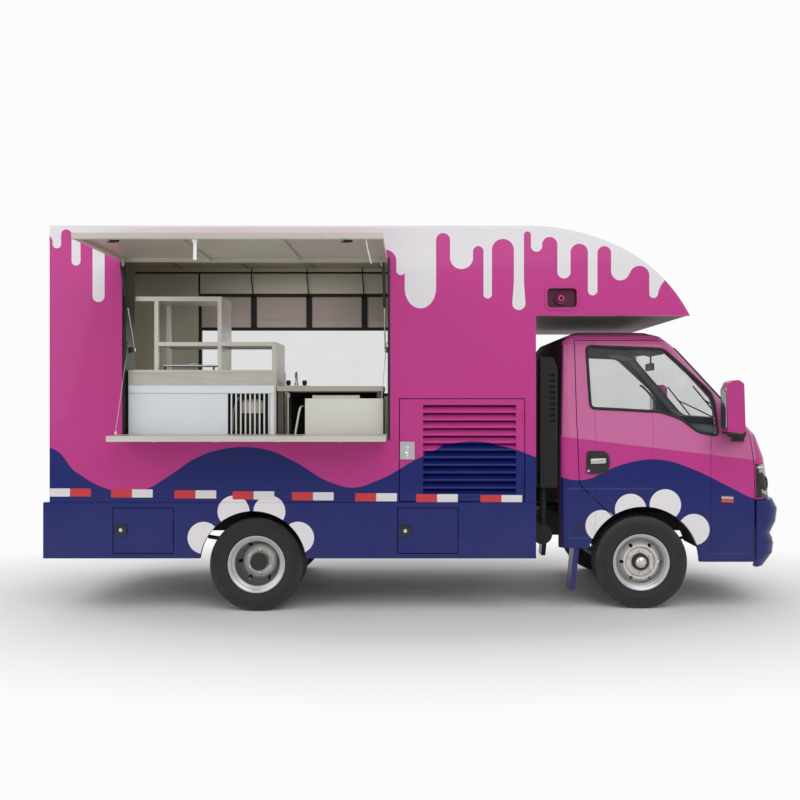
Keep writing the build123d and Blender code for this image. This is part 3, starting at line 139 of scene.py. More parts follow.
class Piece:
    """One mesh of the scene, shaped with Blender's own tools."""

    def __init__(self, name: str) -> None:
        """Takes over the object that the last operator made.

        Args:
            name: The piece's name.
        """
        self.obj = bpy.context.object
        self.obj.name = name
        self.obj.data.name = name

    @staticmethod
    def clear() -> None:
        """Leaves edit mode and deselects everything."""
        if bpy.context.mode != "OBJECT":
            bpy.ops.object.mode_set(mode="OBJECT")
        bpy.ops.object.select_all(action="DESELECT")

    def take(self) -> None:
        """Makes this piece the only selected and the active one."""
        Piece.clear()
        self.obj.select_set(True)
        bpy.context.view_layer.objects.active = self.obj

    @contextmanager
    def editing(self, where: Callable[[Vector, Vector], bool] | None = None) -> Iterator[None]:
        """Edit mode on the faces that a rule picks.

        Args:
            where: Takes a face's centre and normal. All faces are picked without it.
        """
        self.take()
        bpy.context.tool_settings.mesh_select_mode = (False, False, True)
        if where is not None:
            mesh = self.obj.data
            for group in (mesh.vertices, mesh.edges):
                group.foreach_set("select", [False] * len(group))
            for face in mesh.polygons:
                face.select = where(face.center, face.normal)
        bpy.ops.object.mode_set(mode="EDIT")
        if where is None:
            bpy.ops.mesh.select_all(action="SELECT")
        yield
        bpy.ops.object.mode_set(mode="OBJECT")

    @classmethod
    def box(cls, name: str, low: Sequence[float], high: Sequence[float]) -> "Piece":
        """A block between two corners, to be shaped further."""
        Piece.clear()
        middle = [(a + b) / 2 for a, b in zip(low, high)]
        bpy.ops.mesh.primitive_cube_add(size=1, location=middle)
        piece = cls(name)
        piece.obj.scale = [abs(b - a) for a, b in zip(low, high)]
        bpy.ops.object.transform_apply(location=True, rotation=True, scale=True)
        return piece

    @classmethod
    def outline(cls, name: str, points: Sequence[Flat], axis: Axis, level: float, depth: float,
                corner: float = 0.0, steps: int = 4) -> "Piece":
        """A flat outline made solid along an axis.

        Args:
            name: The piece's name.
            points: The corners, in the two directions other than the axis, in their own order.
            axis: The direction it is made solid in.
            level: Where the outline lies on that axis.
            depth: How far it is pushed, with its sign.
            corner: The radius of its corners.
            steps: Edges in each round corner.

        Returns:
            The solid piece.
        """
        Piece.clear()
        bpy.ops.mesh.primitive_circle_add(vertices=len(points), fill_type="NGON")
        piece = cls(name)
        for vertex, (first, second) in zip(piece.obj.data.vertices, points):
            place = [first, second]
            place.insert(axis.value, level)
            vertex.co = place
        with piece.editing():
            if corner:
                bpy.ops.mesh.bevel(offset=corner, segments=steps, affect="VERTICES")
            bpy.ops.mesh.extrude_region_move(TRANSFORM_OT_translate={"value": axis.vector * depth})
            bpy.ops.mesh.select_all(action="SELECT")
            bpy.ops.mesh.normals_make_consistent(inside=False)
        return piece

    @classmethod
    def turned(cls, name: str, profile: Sequence[Flat], centre: Sequence[float], axis: Axis,
               steps: int = 48, sense: float = 1.0) -> "Piece":
        """A closed profile spun about an axis.

        Args:
            name: The piece's name.
            profile: Corners as (distance along the axis, radius).
            centre: The point on the axis that distances start from.
            axis: The axis.
            steps: Steps round the full turn.
            sense: 1 or -1, the sign of the distances.

        Returns:
            The turned piece.
        """
        Piece.clear()
        bpy.ops.mesh.primitive_circle_add(vertices=len(profile), fill_type="NOTHING")
        piece = cls(name)
        around = Axis((axis.value + 1) % 3).vector
        start = Vector(centre)
        for vertex, (distance, radius) in zip(piece.obj.data.vertices, profile):
            vertex.co = start + axis.vector * distance * sense + around * radius
        piece.take()
        bpy.ops.object.mode_set(mode="EDIT")
        bpy.ops.mesh.select_all(action="SELECT")
        bpy.ops.mesh.spin(steps=steps, angle=2 * pi, center=start, axis=axis.vector)
        bpy.ops.mesh.select_all(action="SELECT")
        bpy.ops.mesh.remove_doubles(threshold=1e-5)
        bpy.ops.mesh.normals_make_consistent(inside=False)
        bpy.ops.object.mode_set(mode="OBJECT")
        return piece

    @classmethod
    def tube(cls, name: str, points: Sequence[Sequence[float]], radius: float, smooth: bool = False,
             closed: bool = False, sides: int = 3) -> "Piece":
        """A round bar along a line of points."""
        Piece.clear()
        bpy.ops.curve.primitive_nurbs_path_add()
        curve = bpy.context.object.data
        curve.splines.clear()
        spline = curve.splines.new("NURBS" if smooth else "POLY")
        spline.points.add(len(points) - 1)
        for place, point in zip(spline.points, points):
            place.co = (*point, 1.0)
        if smooth:
            spline.use_endpoint_u = not closed
            spline.order_u = 3
            curve.resolution_u = 6
        spline.use_cyclic_u = closed
        curve.bevel_depth = radius
        curve.bevel_resolution = sides
        curve.use_fill_caps = True
        bpy.context.object.location = (0, 0, 0)
        bpy.ops.object.convert(target="MESH")
        piece = cls(name)
        with piece.editing():
            bpy.ops.mesh.remove_doubles(threshold=1e-6)
            bpy.ops.mesh.normals_make_consistent(inside=False)
        return piece.smooth(40)

    def modify(self, kind: str, **settings: object) -> "Piece":
        """Adds a modifier with its settings and applies it."""
        self.take()
        modifier = self.obj.modifiers.new(kind.title(), kind)
        for key, value in settings.items():
            setattr(modifier, key, value)
        bpy.ops.object.modifier_apply(modifier=modifier.name)
        return self

    def smooth(self, angle: float = 35.0) -> "Piece":
        """Shades smooth below an angle between faces."""
        self.take()
        bpy.ops.object.shade_smooth_by_angle(angle=radians(angle))
        return self

    def soften(self, width: float, segments: int = 2, limit: float = 30.0) -> "Piece":
        """Rounds the edges."""
        self.modify("BEVEL", width=width, segments=segments, limit_method="ANGLE", angle_limit=radians(limit))
        return self.smooth()

    def inset(self, where: Callable[[Vector, Vector], bool], border: float, depth: float) -> "Piece":
        """Insets the faces that a rule picks and moves them out by a depth."""
        with self.editing(where):
            bpy.ops.mesh.inset(thickness=border, depth=depth)
        return self

    def push(self, where: Callable[[Vector, Vector], bool], move: Sequence[float]) -> "Piece":
        """Extrudes the faces that a rule picks."""
        with self.editing(where):
            bpy.ops.mesh.extrude_region_move(TRANSFORM_OT_translate={"value": move})
        return self

    def turn(self, angle: float, axis: Axis, centre: Sequence[float]) -> "Piece":
        """Turns the piece about an axis through a point, in degrees."""
        spin = Matrix.Rotation(radians(angle), 4, axis.vector)
        place = Matrix.Translation(Vector(centre))
        self.obj.data.transform(place @ spin @ place.inverted())
        return self

    def copy(self, name: str) -> "Piece":
        """A copy with its own mesh."""
        self.take()
        bpy.ops.object.duplicate()
        return Piece(name)

    def join(self, *others: "Piece") -> "Piece":
        """Joins other pieces into this one."""
        self.take()
        for other in others:
            other.obj.select_set(True)
        bpy.ops.object.join()
        return self

    def repeat(self, moves: Sequence[Sequence[float]]) -> "Piece":
        """Adds a copy at each move from the first place."""
        copies = []
        for index, move in enumerate(moves):
            twin = self.copy(f"{self.obj.name}_{index}")
            twin.obj.data.transform(Matrix.Translation(Vector(move)))
            copies.append(twin)
        return self.join(*copies)

    def ring(self, count: int, axis: Axis, centre: Sequence[float]) -> "Piece":
        """Fills a ring with copies turned about an axis."""
        copies = []
        for index in range(1, count):
            copies.append(self.copy(f"{self.obj.name}_{index}").turn(360 * index / count, axis, centre))
        return self.join(*copies)

    def dress(self, finish: "Finish", body: str = "truck", slot: str = "plastic") -> "Piece":
        """Gives the piece its finish and its body.

        Args:
            finish: The finish all over it.
            body: The body it moves with.
            slot: Not used.

        Returns:
            The same piece.
        """
        self.obj.data.materials.clear()
        self.obj.data.materials.append(finish.material())
        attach(self.obj, body)
        LOG.info("%s rides %s: %d faces", self.obj.name, body, len(self.obj.data.polygons))
        return self

    def blended(self, finish: "Finish", bodies: tuple[str, str], start: Point, end: Point, slot: str) -> "Piece":
        """Gives the piece its finish and bakes its place into its mesh."""
        self.obj.data.materials.clear()
        self.obj.data.materials.append(finish.material())
        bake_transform(self.obj)
        LOG.info("%s bends between %s and %s", self.obj.name, *bodies)
        return self


class Value:
    """A number socket that takes part in Python expressions."""

    def __init__(self, graph: "Graph", socket: bpy.types.NodeSocket) -> None:
        """Wraps a socket of a graph."""
        self.graph = graph
        self.socket = socket

    def maths(self, operation: str, *others: object) -> "Value":
        """A Math node on this value and others, in order."""
        return self.graph.node(
            "ShaderNodeMath", {"operation": operation}, {index: item for index, item in enumerate((self, *others))}
        )

    def __add__(self, other: object) -> "Value":
        """Sum."""
        return self.maths("ADD", other)

    __radd__ = __add__

    def __mul__(self, other: object) -> "Value":
        """Product."""
        return self.maths("MULTIPLY", other)

    __rmul__ = __mul__

    def __sub__(self, other: object) -> "Value":
        """Difference."""
        return self.maths("SUBTRACT", other)

    def __rsub__(self, other: float) -> "Value":
        """A number less this value."""
        return self.graph.number(other).maths("SUBTRACT", self)

    def __truediv__(self, other: object) -> "Value":
        """Quotient."""
        return self.maths("DIVIDE", other)

    def __gt__(self, other: object) -> "Value":
        """1 where this is greater, else 0."""
        return self.maths("GREATER_THAN", other)

    def __lt__(self, other: object) -> "Value":
        """1 where this is less, else 0."""
        return self.maths("LESS_THAN", other)

    def size(self) -> "Value":
        """The value without its sign."""
        return self.maths("ABSOLUTE")

    def root(self) -> "Value":
        """The square root."""
        return self.maths("SQRT")

    def wave(self) -> "Value":
        """The sine."""
        return self.maths("SINE")

    def least(self, other: object) -> "Value":
        """The smaller of two."""
        return self.maths("MINIMUM", other)

    def most(self, other: object) -> "Value":
        """The greater of two."""
        return self.maths("MAXIMUM", other)

    def clamped(self) -> "Value":
        """The value kept from 0 to 1."""
        return self.most(0.0).least(1.0)

    def between(self, low: float, high: float) -> "Value":
        """0 below low, 1 above high and a straight slope between."""
        return ((self - low) / (high - low)).clamped()


class Graph:
    """The nodes of one material, or of the world."""

    def __init__(self, made: bpy.types.Material | bpy.types.World) -> None:
        """Empties a material or world, ready for nodes."""
        self.made = made
        self.made.use_nodes = True
        self.made.node_tree.nodes.clear()
        self._place: dict[str, Value] = {}

    def node(self, kind: str, settings: dict[str, object] | None = None,
             inputs: dict[str | int, object] | None = None, output: str | int = 0) -> Value:
        """Adds one node.

        Args:
            kind: The node's type.
            settings: Its options. "curve" fills a float curve.
            inputs: Values or links by socket name or number.
            output: The output that is returned.

        Returns:
            The output, ready for expressions.
        """
        made = self.made.node_tree.nodes.new(kind)
        for key, value in (settings or {}).items():
            if key == "curve":
                self._fill_curve(made, value)
            else:
                setattr(made, key, value)
        for key, value in (inputs or {}).items():
            if isinstance(value, Value):
                self.made.node_tree.links.new(value.socket, made.inputs[key])
            elif isinstance(value, tuple) and len(value) == 3 and made.inputs[key].type == "RGBA":
                made.inputs[key].default_value = (*value, 1.0)
            else:
                made.inputs[key].default_value = value
        return Value(self, made.outputs[output] if made.outputs else None)

    @staticmethod
    def _fill_curve(made: bpy.types.Node, points: Sequence[Flat]) -> None:
        """Sets a float curve's points."""
        curve = made.mapping.curves[0]
        while len(curve.points) < len(points):
            curve.points.new(0.5, 0.5)
        for place, (along, height) in zip(curve.points, points):
            place.location = (along, height)
            place.handle_type = "AUTO"
        made.mapping.update()

    def number(self, value: float) -> Value:
        """A plain number as a value."""
        return self.node("ShaderNodeMath", {"operation": "ADD"}, {0: value, 1: 0.0})

    def place(self, axis: Axis) -> Value:
        """The surface's place along one axis, in metres in the shared frame."""
        if axis.name not in self._place:
            self._place[axis.name] = self.node("ShaderNodeSeparateXYZ", None, {0: self.point()}, axis.name)
        return self._place[axis.name]

    def point(self) -> Value:
        """The surface's place as a vector."""
        if "point" not in self._place:
            self._place["point"] = self.node("ShaderNodeTexCoord", None, None, "Object")
        return self._place["point"]

    def facing(self, axis: Axis) -> Value:
        """How far the surface's own normal points along an axis."""
        normal = self.node("ShaderNodeTexCoord", None, None, "Normal")
        return self.node("ShaderNodeSeparateXYZ", None, {0: normal}, axis.name)

    def stretched(self, stretch: Point) -> Value:
        """The surface's place with its axes scaled."""
        return self.node("ShaderNodeMapping", None, {"Vector": self.point(), "Scale": stretch})

    def noise(self, scale: float, detail: float = 2.0, stretch: Point = (1.0, 1.0, 1.0)) -> Value:
        """Soft noise from 0 to 1."""
        return self.node(
            "ShaderNodeTexNoise", None, {"Vector": self.stretched(stretch), "Scale": scale, "Detail": detail}, "Fac"
        )

    def mix(self, mask: Value, under: object, over: object) -> Value:
        """One colour over another by a mask."""
        return self.node("ShaderNodeMix", {"data_type": "RGBA"}, {0: mask, 6: under, 7: over}, 2)

    def bump(self, height: Value, distance: float, strength: float = 1.0) -> Value:
        """A bumped normal from a height of 0 to 1."""
        return self.node("ShaderNodeBump", None, {"Height": height, "Distance": distance, "Strength": strength})

    def shader(self, **sockets: object) -> Value:
        """The main shader. Keywords are socket names with _ for spaces."""
        return self.node(
            "ShaderNodeBsdfPrincipled", None, {key.replace("_", " "): value for key, value in sockets.items()}
        )

    def finish(self, shader: Value, kind: str = "ShaderNodeOutputMaterial") -> None:
        """Links a shader to the output."""
        self.node(kind, None, {"Surface": shader})

    def surface(self, **sockets: object) -> None:
        """The main shader, linked to the output."""
        self.finish(self.shader(**sockets))


@dataclass(frozen=True)
class Finish:
    """A material, built once from its own values."""

    name: str

    @lru_cache(maxsize=None)
    def material(self) -> bpy.types.Material:
        """The Blender material."""
        graph = Graph(bpy.data.materials.new(self.name))
        self.build(graph)
        return graph.made

    def build(self, graph: Graph) -> None:
        """Adds the nodes."""
        raise NotImplementedError(self.name)


@dataclass(frozen=True)
class Enamel(Finish):
    """Sprayed gloss paint in one colour, with a little road dust low down."""

    colour: Colour
    roughness: float = 0.28
    coat: float = 0.5
    dust: float = 0.25

    def build(self, graph: Graph) -> None:
        """Adds the nodes."""
        cloud = graph.noise(3.0, 4.0)
        speck = graph.noise(60.0, 2.0)
        low = 1 - graph.place(Axis.Z).between(0.3, 0.9)
        dirt = low * cloud * self.dust
        shade = tuple(channel * 0.88 for channel in self.colour)
        base = graph.mix(cloud, shade, self.colour)
        graph.surface(
            Base_Color=graph.mix(dirt, base, srgb(122, 112, 100)),
            Roughness=speck * 0.08 + self.roughness + dirt * 0.5, Specular_IOR_Level=0.3, Coat_Weight=self.coat,
            Coat_Roughness=0.06, Normal=graph.bump(graph.noise(260.0, 1.0), 0.00008, 0.35),
        )


@dataclass(frozen=True)
class Brushed(Finish):
    """Brushed stainless steel, its lines along one axis."""

    along: Axis = Axis.X
    tint: Colour = (0.60, 0.585, 0.565)
    roughness: float = 0.34
    metallic: float = 1.0

    def build(self, graph: Graph) -> None:
        """Adds the nodes."""
        stretch = [220.0, 220.0, 220.0]
        stretch[self.along.value] = 2.0
        lines = graph.noise(1.0, 3.0, tuple(stretch))
        cloud = graph.noise(2.2, 3.0)
        smear = graph.noise(9.0, 4.0)
        dark = tuple(channel * 0.8 for channel in self.tint)
        graph.surface(
            Base_Color=graph.mix(cloud * 0.6 + lines * 0.4, dark, self.tint), Metallic=self.metallic,
            Roughness=lines * 0.14 + smear * 0.12 + (self.roughness - 0.12),
            Normal=graph.bump(lines * 0.35 + graph.noise(3.5, 1.0) * 0.65, 0.0006, 0.35),
        )


@dataclass(frozen=True)
class Moulded(Finish):
    """Moulded plastic or rubber with a fine grain."""

    colour: Colour
    roughness: float = 0.55
    grain: float = 0.0002

    def build(self, graph: Graph) -> None:
        """Adds the nodes."""
        grain = graph.node("ShaderNodeTexVoronoi", None, {"Vector": graph.point(), "Scale": 700.0}, "Distance")
        cloud = graph.noise(8.0, 3.0)
        worn = tuple(min(1.0, channel * 1.5 + 0.012) for channel in self.colour)
        graph.surface(
            Base_Color=graph.mix(cloud * 0.55, self.colour, worn), Roughness=cloud * 0.16 + self.roughness - 0.08,
            Normal=graph.bump(grain, self.grain, 0.5),
        )


@dataclass(frozen=True)
class Chrome(Finish):
    """Bright plated metal."""

    tint: Colour = (0.78, 0.78, 0.79)
    roughness: float = 0.08

    def build(self, graph: Graph) -> None:
        """Adds the nodes."""
        cloud = graph.noise(40.0, 3.0)
        graph.surface(Base_Color=graph.mix(cloud, tuple(c * 0.9 for c in self.tint), self.tint), Metallic=1.0,
                      Roughness=cloud * 0.1 + self.roughness)


@dataclass(frozen=True)
class CastMetal(Finish):
    """Cast or forged chassis metal under black paint, with patches of dust."""

    colour: Colour = (0.022, 0.022, 0.023)
    metallic: float = 0.3

    def build(self, graph: Graph) -> None:
        """Adds the nodes."""
        cloud = graph.noise(14.0, 5.0)
        rust = graph.noise(46.0, 4.0).between(0.58, 0.8)
        dusty = graph.mix(cloud * 0.6, self.colour, srgb(74, 68, 62))
        graph.surface(
            Base_Color=graph.mix(rust * 0.5, dusty, srgb(84, 52, 34)), Metallic=self.metallic,
            Roughness=cloud * 0.25 + 0.5, Normal=graph.bump(graph.noise(180.0, 3.0), 0.0008, 0.5),
        )


@dataclass(frozen=True)
class Tyre(Finish):
    """Tyre rubber with sidewall rings, sipes across the tread and road dust."""

    axle_x: float
    radius: float = 0.338

    def build(self, graph: Graph) -> None:
        """Adds the nodes."""
        x = graph.place(Axis.X) - self.axle_x
        z = graph.place(Axis.Z) - AXLE_Z
        reach = (x * x + z * z).root()
        angle = z.maths("ARCTAN2", x)
        tread = reach.between(self.radius - 0.012, self.radius - 0.004)
        sipes = (angle * 96.0 + graph.place(Axis.Y) * 120.0).wave() > 0.72
        rings = (reach * 1500.0).wave().between(0.4, 1.0) * reach.between(0.25, 0.26) * (1 - reach.between(0.3, 0.31))
        ribs = (angle * 240.0).wave() * reach.between(0.298, 0.302) * (1 - reach.between(0.314, 0.318))
        cloud = graph.noise(16.0, 4.0)
        dust = cloud * (reach.between(0.28, 0.34) * 0.35 + 0.25)
        height = tread * (1 - sipes) + rings * 0.25 + ribs * 0.15 + (1 - tread) * 0.9
        graph.surface(
            Base_Color=graph.mix(dust, srgb(25, 26, 28), srgb(86, 86, 87)), Roughness=cloud * 0.2 + 0.66,
            Normal=graph.bump(height, 0.0035, 0.8),
        )


@dataclass(frozen=True)
class WheelSteel(Finish):
    """Silver painted wheel steel with brake dust in its corners and a dark ring of painted shade in the well round
    its disc.
    """

    axle_x: float
    colour: Colour = (0.56, 0.57, 0.59)
    metallic: float = 0.72
    dark_hub: float = 0.0
    well: Flat = (0.160, 0.178)

    def build(self, graph: Graph) -> None:
        """Adds the nodes."""
        x = graph.place(Axis.X) - self.axle_x
        z = graph.place(Axis.Z) - AXLE_Z
        reach = (x * x + z * z).root()
        cloud = graph.noise(22.0, 5.0)
        dust = cloud.between(0.35, 0.8) * (1 - (reach - 0.12).size().between(0.0, 0.07)) * 0.35
        hub = (1 - reach.between(self.dark_hub - 0.001, self.dark_hub + 0.001)) if self.dark_hub else reach * 0.0
        inner, outer = self.well
        disc = 1 - reach.between(inner - 0.003, inner + 0.003)
        # A dark ring in the well between disc and rim: painted shade of the recess.
        shade = (1 - disc) * (1 - reach.between(outer - 0.003, outer + 0.003))
        steel = graph.mix(dust, graph.mix(disc, self.colour, (0.74, 0.72, 0.67)), srgb(96, 84, 74))
        steel = graph.mix(shade * 0.62, steel, srgb(60, 58, 58))
        graph.surface(
            Base_Color=graph.mix(hub, steel, srgb(38, 38, 40)),
            Metallic=self.metallic * (1 - hub * 0.5) * (1 - disc * 0.35), Roughness=cloud * 0.2 + 0.26,
            Coat_Weight=0.3, Normal=graph.bump(graph.noise(200.0, 2.0), 0.0002, 0.4),
        )


@dataclass(frozen=True)
class ClearGlass(Finish):
    """Window glass, thin enough to see through, with a faint tint and dust."""

    tint: Colour = (0.05, 0.07, 0.07)
    cover: float = 0.12

    def build(self, graph: Graph) -> None:
        """Adds the nodes."""
        smear = graph.noise(6.0, 4.0)
        graph.surface(
            Base_Color=self.tint, Roughness=smear * 0.05 + 0.01, Alpha=(smear * 0.04 + self.cover).clamped(), IOR=1.5,
            Specular_IOR_Level=0.8,
        )


@dataclass(frozen=True)
class Lens(Finish):
    """A coloured lamp lens with fine vertical flutes."""

    colour: Colour
    cover: float = 0.85
    flutes: float = 900.0

    def build(self, graph: Graph) -> None:
        """Adds the nodes."""
        flutes = (graph.place(Axis.X) * self.flutes).wave() * 0.5 + (graph.place(Axis.Y) * self.flutes).wave() * 0.5
        cloud = graph.noise(12.0, 3.0)
        graph.surface(
            Base_Color=graph.mix(cloud, tuple(c * 0.8 for c in self.colour), self.colour),
            Roughness=cloud * 0.06 + 0.06, Alpha=(cloud * 0.05 + self.cover).clamped(), Coat_Weight=0.6,
            Normal=graph.bump(flutes, 0.0006, 0.6),
        )


@dataclass(frozen=True)
class Film(Finish):
    """Reflective film with a fine cell pattern."""

    colour: Colour

    def build(self, graph: Graph) -> None:
        """Adds the nodes."""
        cells = graph.node("ShaderNodeTexVoronoi", {"feature": "DISTANCE_TO_EDGE"},
                           {"Vector": graph.point(), "Scale": 260.0}, "Distance")
        edge = cells < 0.06
        graph.surface(
            Base_Color=graph.mix(edge * 0.35, self.colour, tuple(c * 0.55 for c in self.colour)),
            Roughness=graph.noise(30.0) * 0.1 + 0.3, Metallic=0.15, Coat_Weight=0.4,
            Normal=graph.bump(cells, 0.0002, 0.3),
        )


@dataclass(frozen=True)
class Cloth(Finish):
    """Woven seat cloth."""

    colour: Colour
    thread: float = 1900.0

    def build(self, graph: Graph) -> None:
        """Adds the nodes."""
        first = (graph.place(Axis.Y) * self.thread).wave()
        second = ((graph.place(Axis.X) + graph.place(Axis.Z)) * self.thread).wave()
        weave = first * second * 0.5 + 0.5
        cloud = graph.noise(7.0, 4.0)
        light = tuple(min(1.0, c * 2.2 + 0.01) for c in self.colour)
        graph.surface(
            Base_Color=graph.mix(weave * 0.35 + cloud * 0.3, self.colour, light), Roughness=cloud * 0.1 + 0.82,
            Sheen_Weight=0.3, Normal=graph.bump(weave, 0.0006, 0.7),
        )


@dataclass(frozen=True)
class Chequer(Finish):
    """Aluminium tread plate."""

    pitch: float = 0.034

    def build(self, graph: Graph) -> None:
        """Adds the nodes."""
        x = graph.place(Axis.X) * (2 * pi / self.pitch)
        y = graph.place(Axis.Y) * (2 * pi / self.pitch)
        bars = (x + y).wave() * (x * 0.5 - y * 0.5).wave()
        raised = bars.size().between(0.55, 0.75)
        cloud = graph.noise(5.0, 4.0)
        graph.surface(
            Base_Color=graph.mix(cloud * 0.6 + raised * 0.3, (0.24, 0.24, 0.24), (0.5, 0.5, 0.5)), Metallic=0.9,
            Roughness=cloud * 0.2 + 0.34, Normal=graph.bump(raised, 0.0016, 0.8),
        )


PINK = srgb(188, 53, 134)
NAVY = srgb(9, 26, 104)
CREAM = srgb(222, 219, 223)
DOT_WHITE = srgb(232, 229, 232)


@dataclass(frozen=True)
class Column:
    """One drip of white, or one gap of pink between two drips.

    Attributes:
        along: Its middle, along the vehicle.
        half: Half its width.
        end: The height of its tip.
        neck: The share of the width that is left well above the tip.
        point: How much longer than a half circle the tip is.
    """

    along: float
    half: float
    end: float
    neck: float = 1.0
    point: float = 1.0


DRIPS = (
    Column(-3.40, 0.07, 2.36), Column(-3.10, 0.04, 2.52), Column(-2.84, 0.06, 2.30), Column(-2.608, 0.030, 2.610),
    Column(-2.471, 0.032, 2.487), Column(-2.310, 0.043, 2.226), Column(-2.08, 0.05, 2.50), Column(-1.80, 0.08, 2.30),
    Column(-1.52, 0.04, 2.56), Column(-1.24, 0.06, 2.38), Column(-0.96, 0.09, 2.30), Column(-0.62, 0.05, 2.52),
    Column(-0.38, 0.04, 2.40), Column(-0.149, 0.033, 2.419), Column(-0.010, 0.112, 2.181, 1.0, 1.3),
    Column(0.284, 0.082, 2.462), Column(0.471, 0.030, 2.251), Column(0.694, 0.047, 2.169, 0.76),
    Column(0.820, 0.040, 2.586), Column(1.016, 0.047, 2.395), Column(1.221, 0.034, 2.274),
    Column(1.419, 0.066, 2.381), Column(1.656, 0.030, 2.255), Column(2.06, 0.045, 2.38), Column(2.24, 0.035, 2.50),
    Column(2.44, 0.06, 2.32), Column(2.65, 0.035, 2.46), Column(2.88, 0.07, 2.34),
)


def gaps_between(drips: Sequence[Column], tops: Sequence[float]) -> tuple[Column, ...]:
    """The pink gaps that fill the spaces between drips.

    Args:
        drips: The drips in order.
        tops: The height of each gap's top.

    Returns:
        One gap after each drip.
    """
    gaps = []
    for index, top in enumerate(tops):
        start = drips[index].along + drips[index].half * drips[index].neck
        end = start + 0.3
        if index + 1 < len(drips):
            end = drips[index + 1].along - drips[index + 1].half * drips[index + 1].neck
        gaps.append(Column((start + end) / 2, (end - start) / 2, top))
    return tuple(gaps)


GAP_TOPS = (
    2.62, 2.66, 2.72, 2.745, 2.698, 2.66, 2.68, 2.65, 2.69, 2.66, 2.64, 2.68, 2.60, 2.47, 2.719, 2.626, 2.677, 2.731,
    2.691, 2.643, 2.626, 2.485, 2.424, 2.58, 2.60, 2.57, 2.60, 2.59,
)
GAPS = gaps_between(DRIPS, GAP_TOPS)

BOX_WAVE = (
    (-3.60, 1.05), (-3.30, 0.90), (-2.96, 1.08), (-2.70, 1.19), (-2.471, 1.011), (-2.221, 0.883), (-2.099, 0.865),
    (-1.992, 0.883), (-1.814, 0.979), (-1.596, 1.119), (-1.421, 1.176), (-1.256, 1.190), (-1.092, 1.166),
    (-0.928, 1.095), (-0.599, 0.919), (-0.492, 0.900), (-0.327, 0.947), (0.001, 1.122), (0.244, 1.219),
    (0.402, 1.231), (0.552, 1.206), (0.802, 1.122), (1.10, 0.98), (1.50, 0.90), (1.80, 1.0),
)
CAB_WAVE = (
    (0.90, 1.05), (0.998, 0.991), (1.054, 0.955), (1.145, 0.943), (1.225, 0.955), (1.298, 0.985), (1.400, 1.036),
    (1.552, 1.080), (1.676, 1.095), (1.807, 1.080), (1.902, 1.050), (2.069, 0.980), (2.236, 0.896), (2.440, 0.806),
    (2.60, 0.808), (3.00, 0.808), (3.50, 0.808),
)
REAR_DOTS = ((-1.558, 0.542), (-1.344, 0.729), (-1.088, 0.729), (-0.883, 0.543))
FRONT_DOTS = ((1.306, 0.611), (1.520, 0.730), (1.773, 0.763), (1.981, 0.583))


@dataclass(frozen=True)
class Crease:
    """A pressed line in a panel, above which the panel leans inwards. Above a long one, the paint near the side gets
    a painted pale sheen.

    Attributes:
        start: X and Z of its rear end.
        end: X and Z of its front end.
        reach: How far up the panel leans.
        lean: The slope of the lean.
    """

    start: Flat
    end: Flat
    reach: float = 0.012
    lean: float = 0.45

    def above(self, x: Value, z: Value) -> Value:
        """How far a place is above the line, from 0 to the reach."""
        rise = (self.end[1] - self.start[1]) / (self.end[0] - self.start[0])
        above = (z - (x - self.start[0]) * rise - self.start[1]).most(0.0).least(self.reach)
        inside = x.between(self.start[0] - 0.01, self.start[0]) * (1 - x.between(self.end[0], self.end[0] + 0.01))
        return above * inside

    def height(self, x: Value, z: Value) -> Value:
        """The height it adds to the surface, in metres."""
        return self.above(x, z) * -self.lean


CAB_CREASES = (
    Crease((1.012, 1.259), (2.440, 1.086), 0.70, 0.36), Crease((1.070, 0.875), (1.680, 0.875)),
    Crease((1.060, 0.515), (1.260, 0.515)), Crease((2.110, 0.401), (2.700, 0.401), 0.012, 0.7),
)


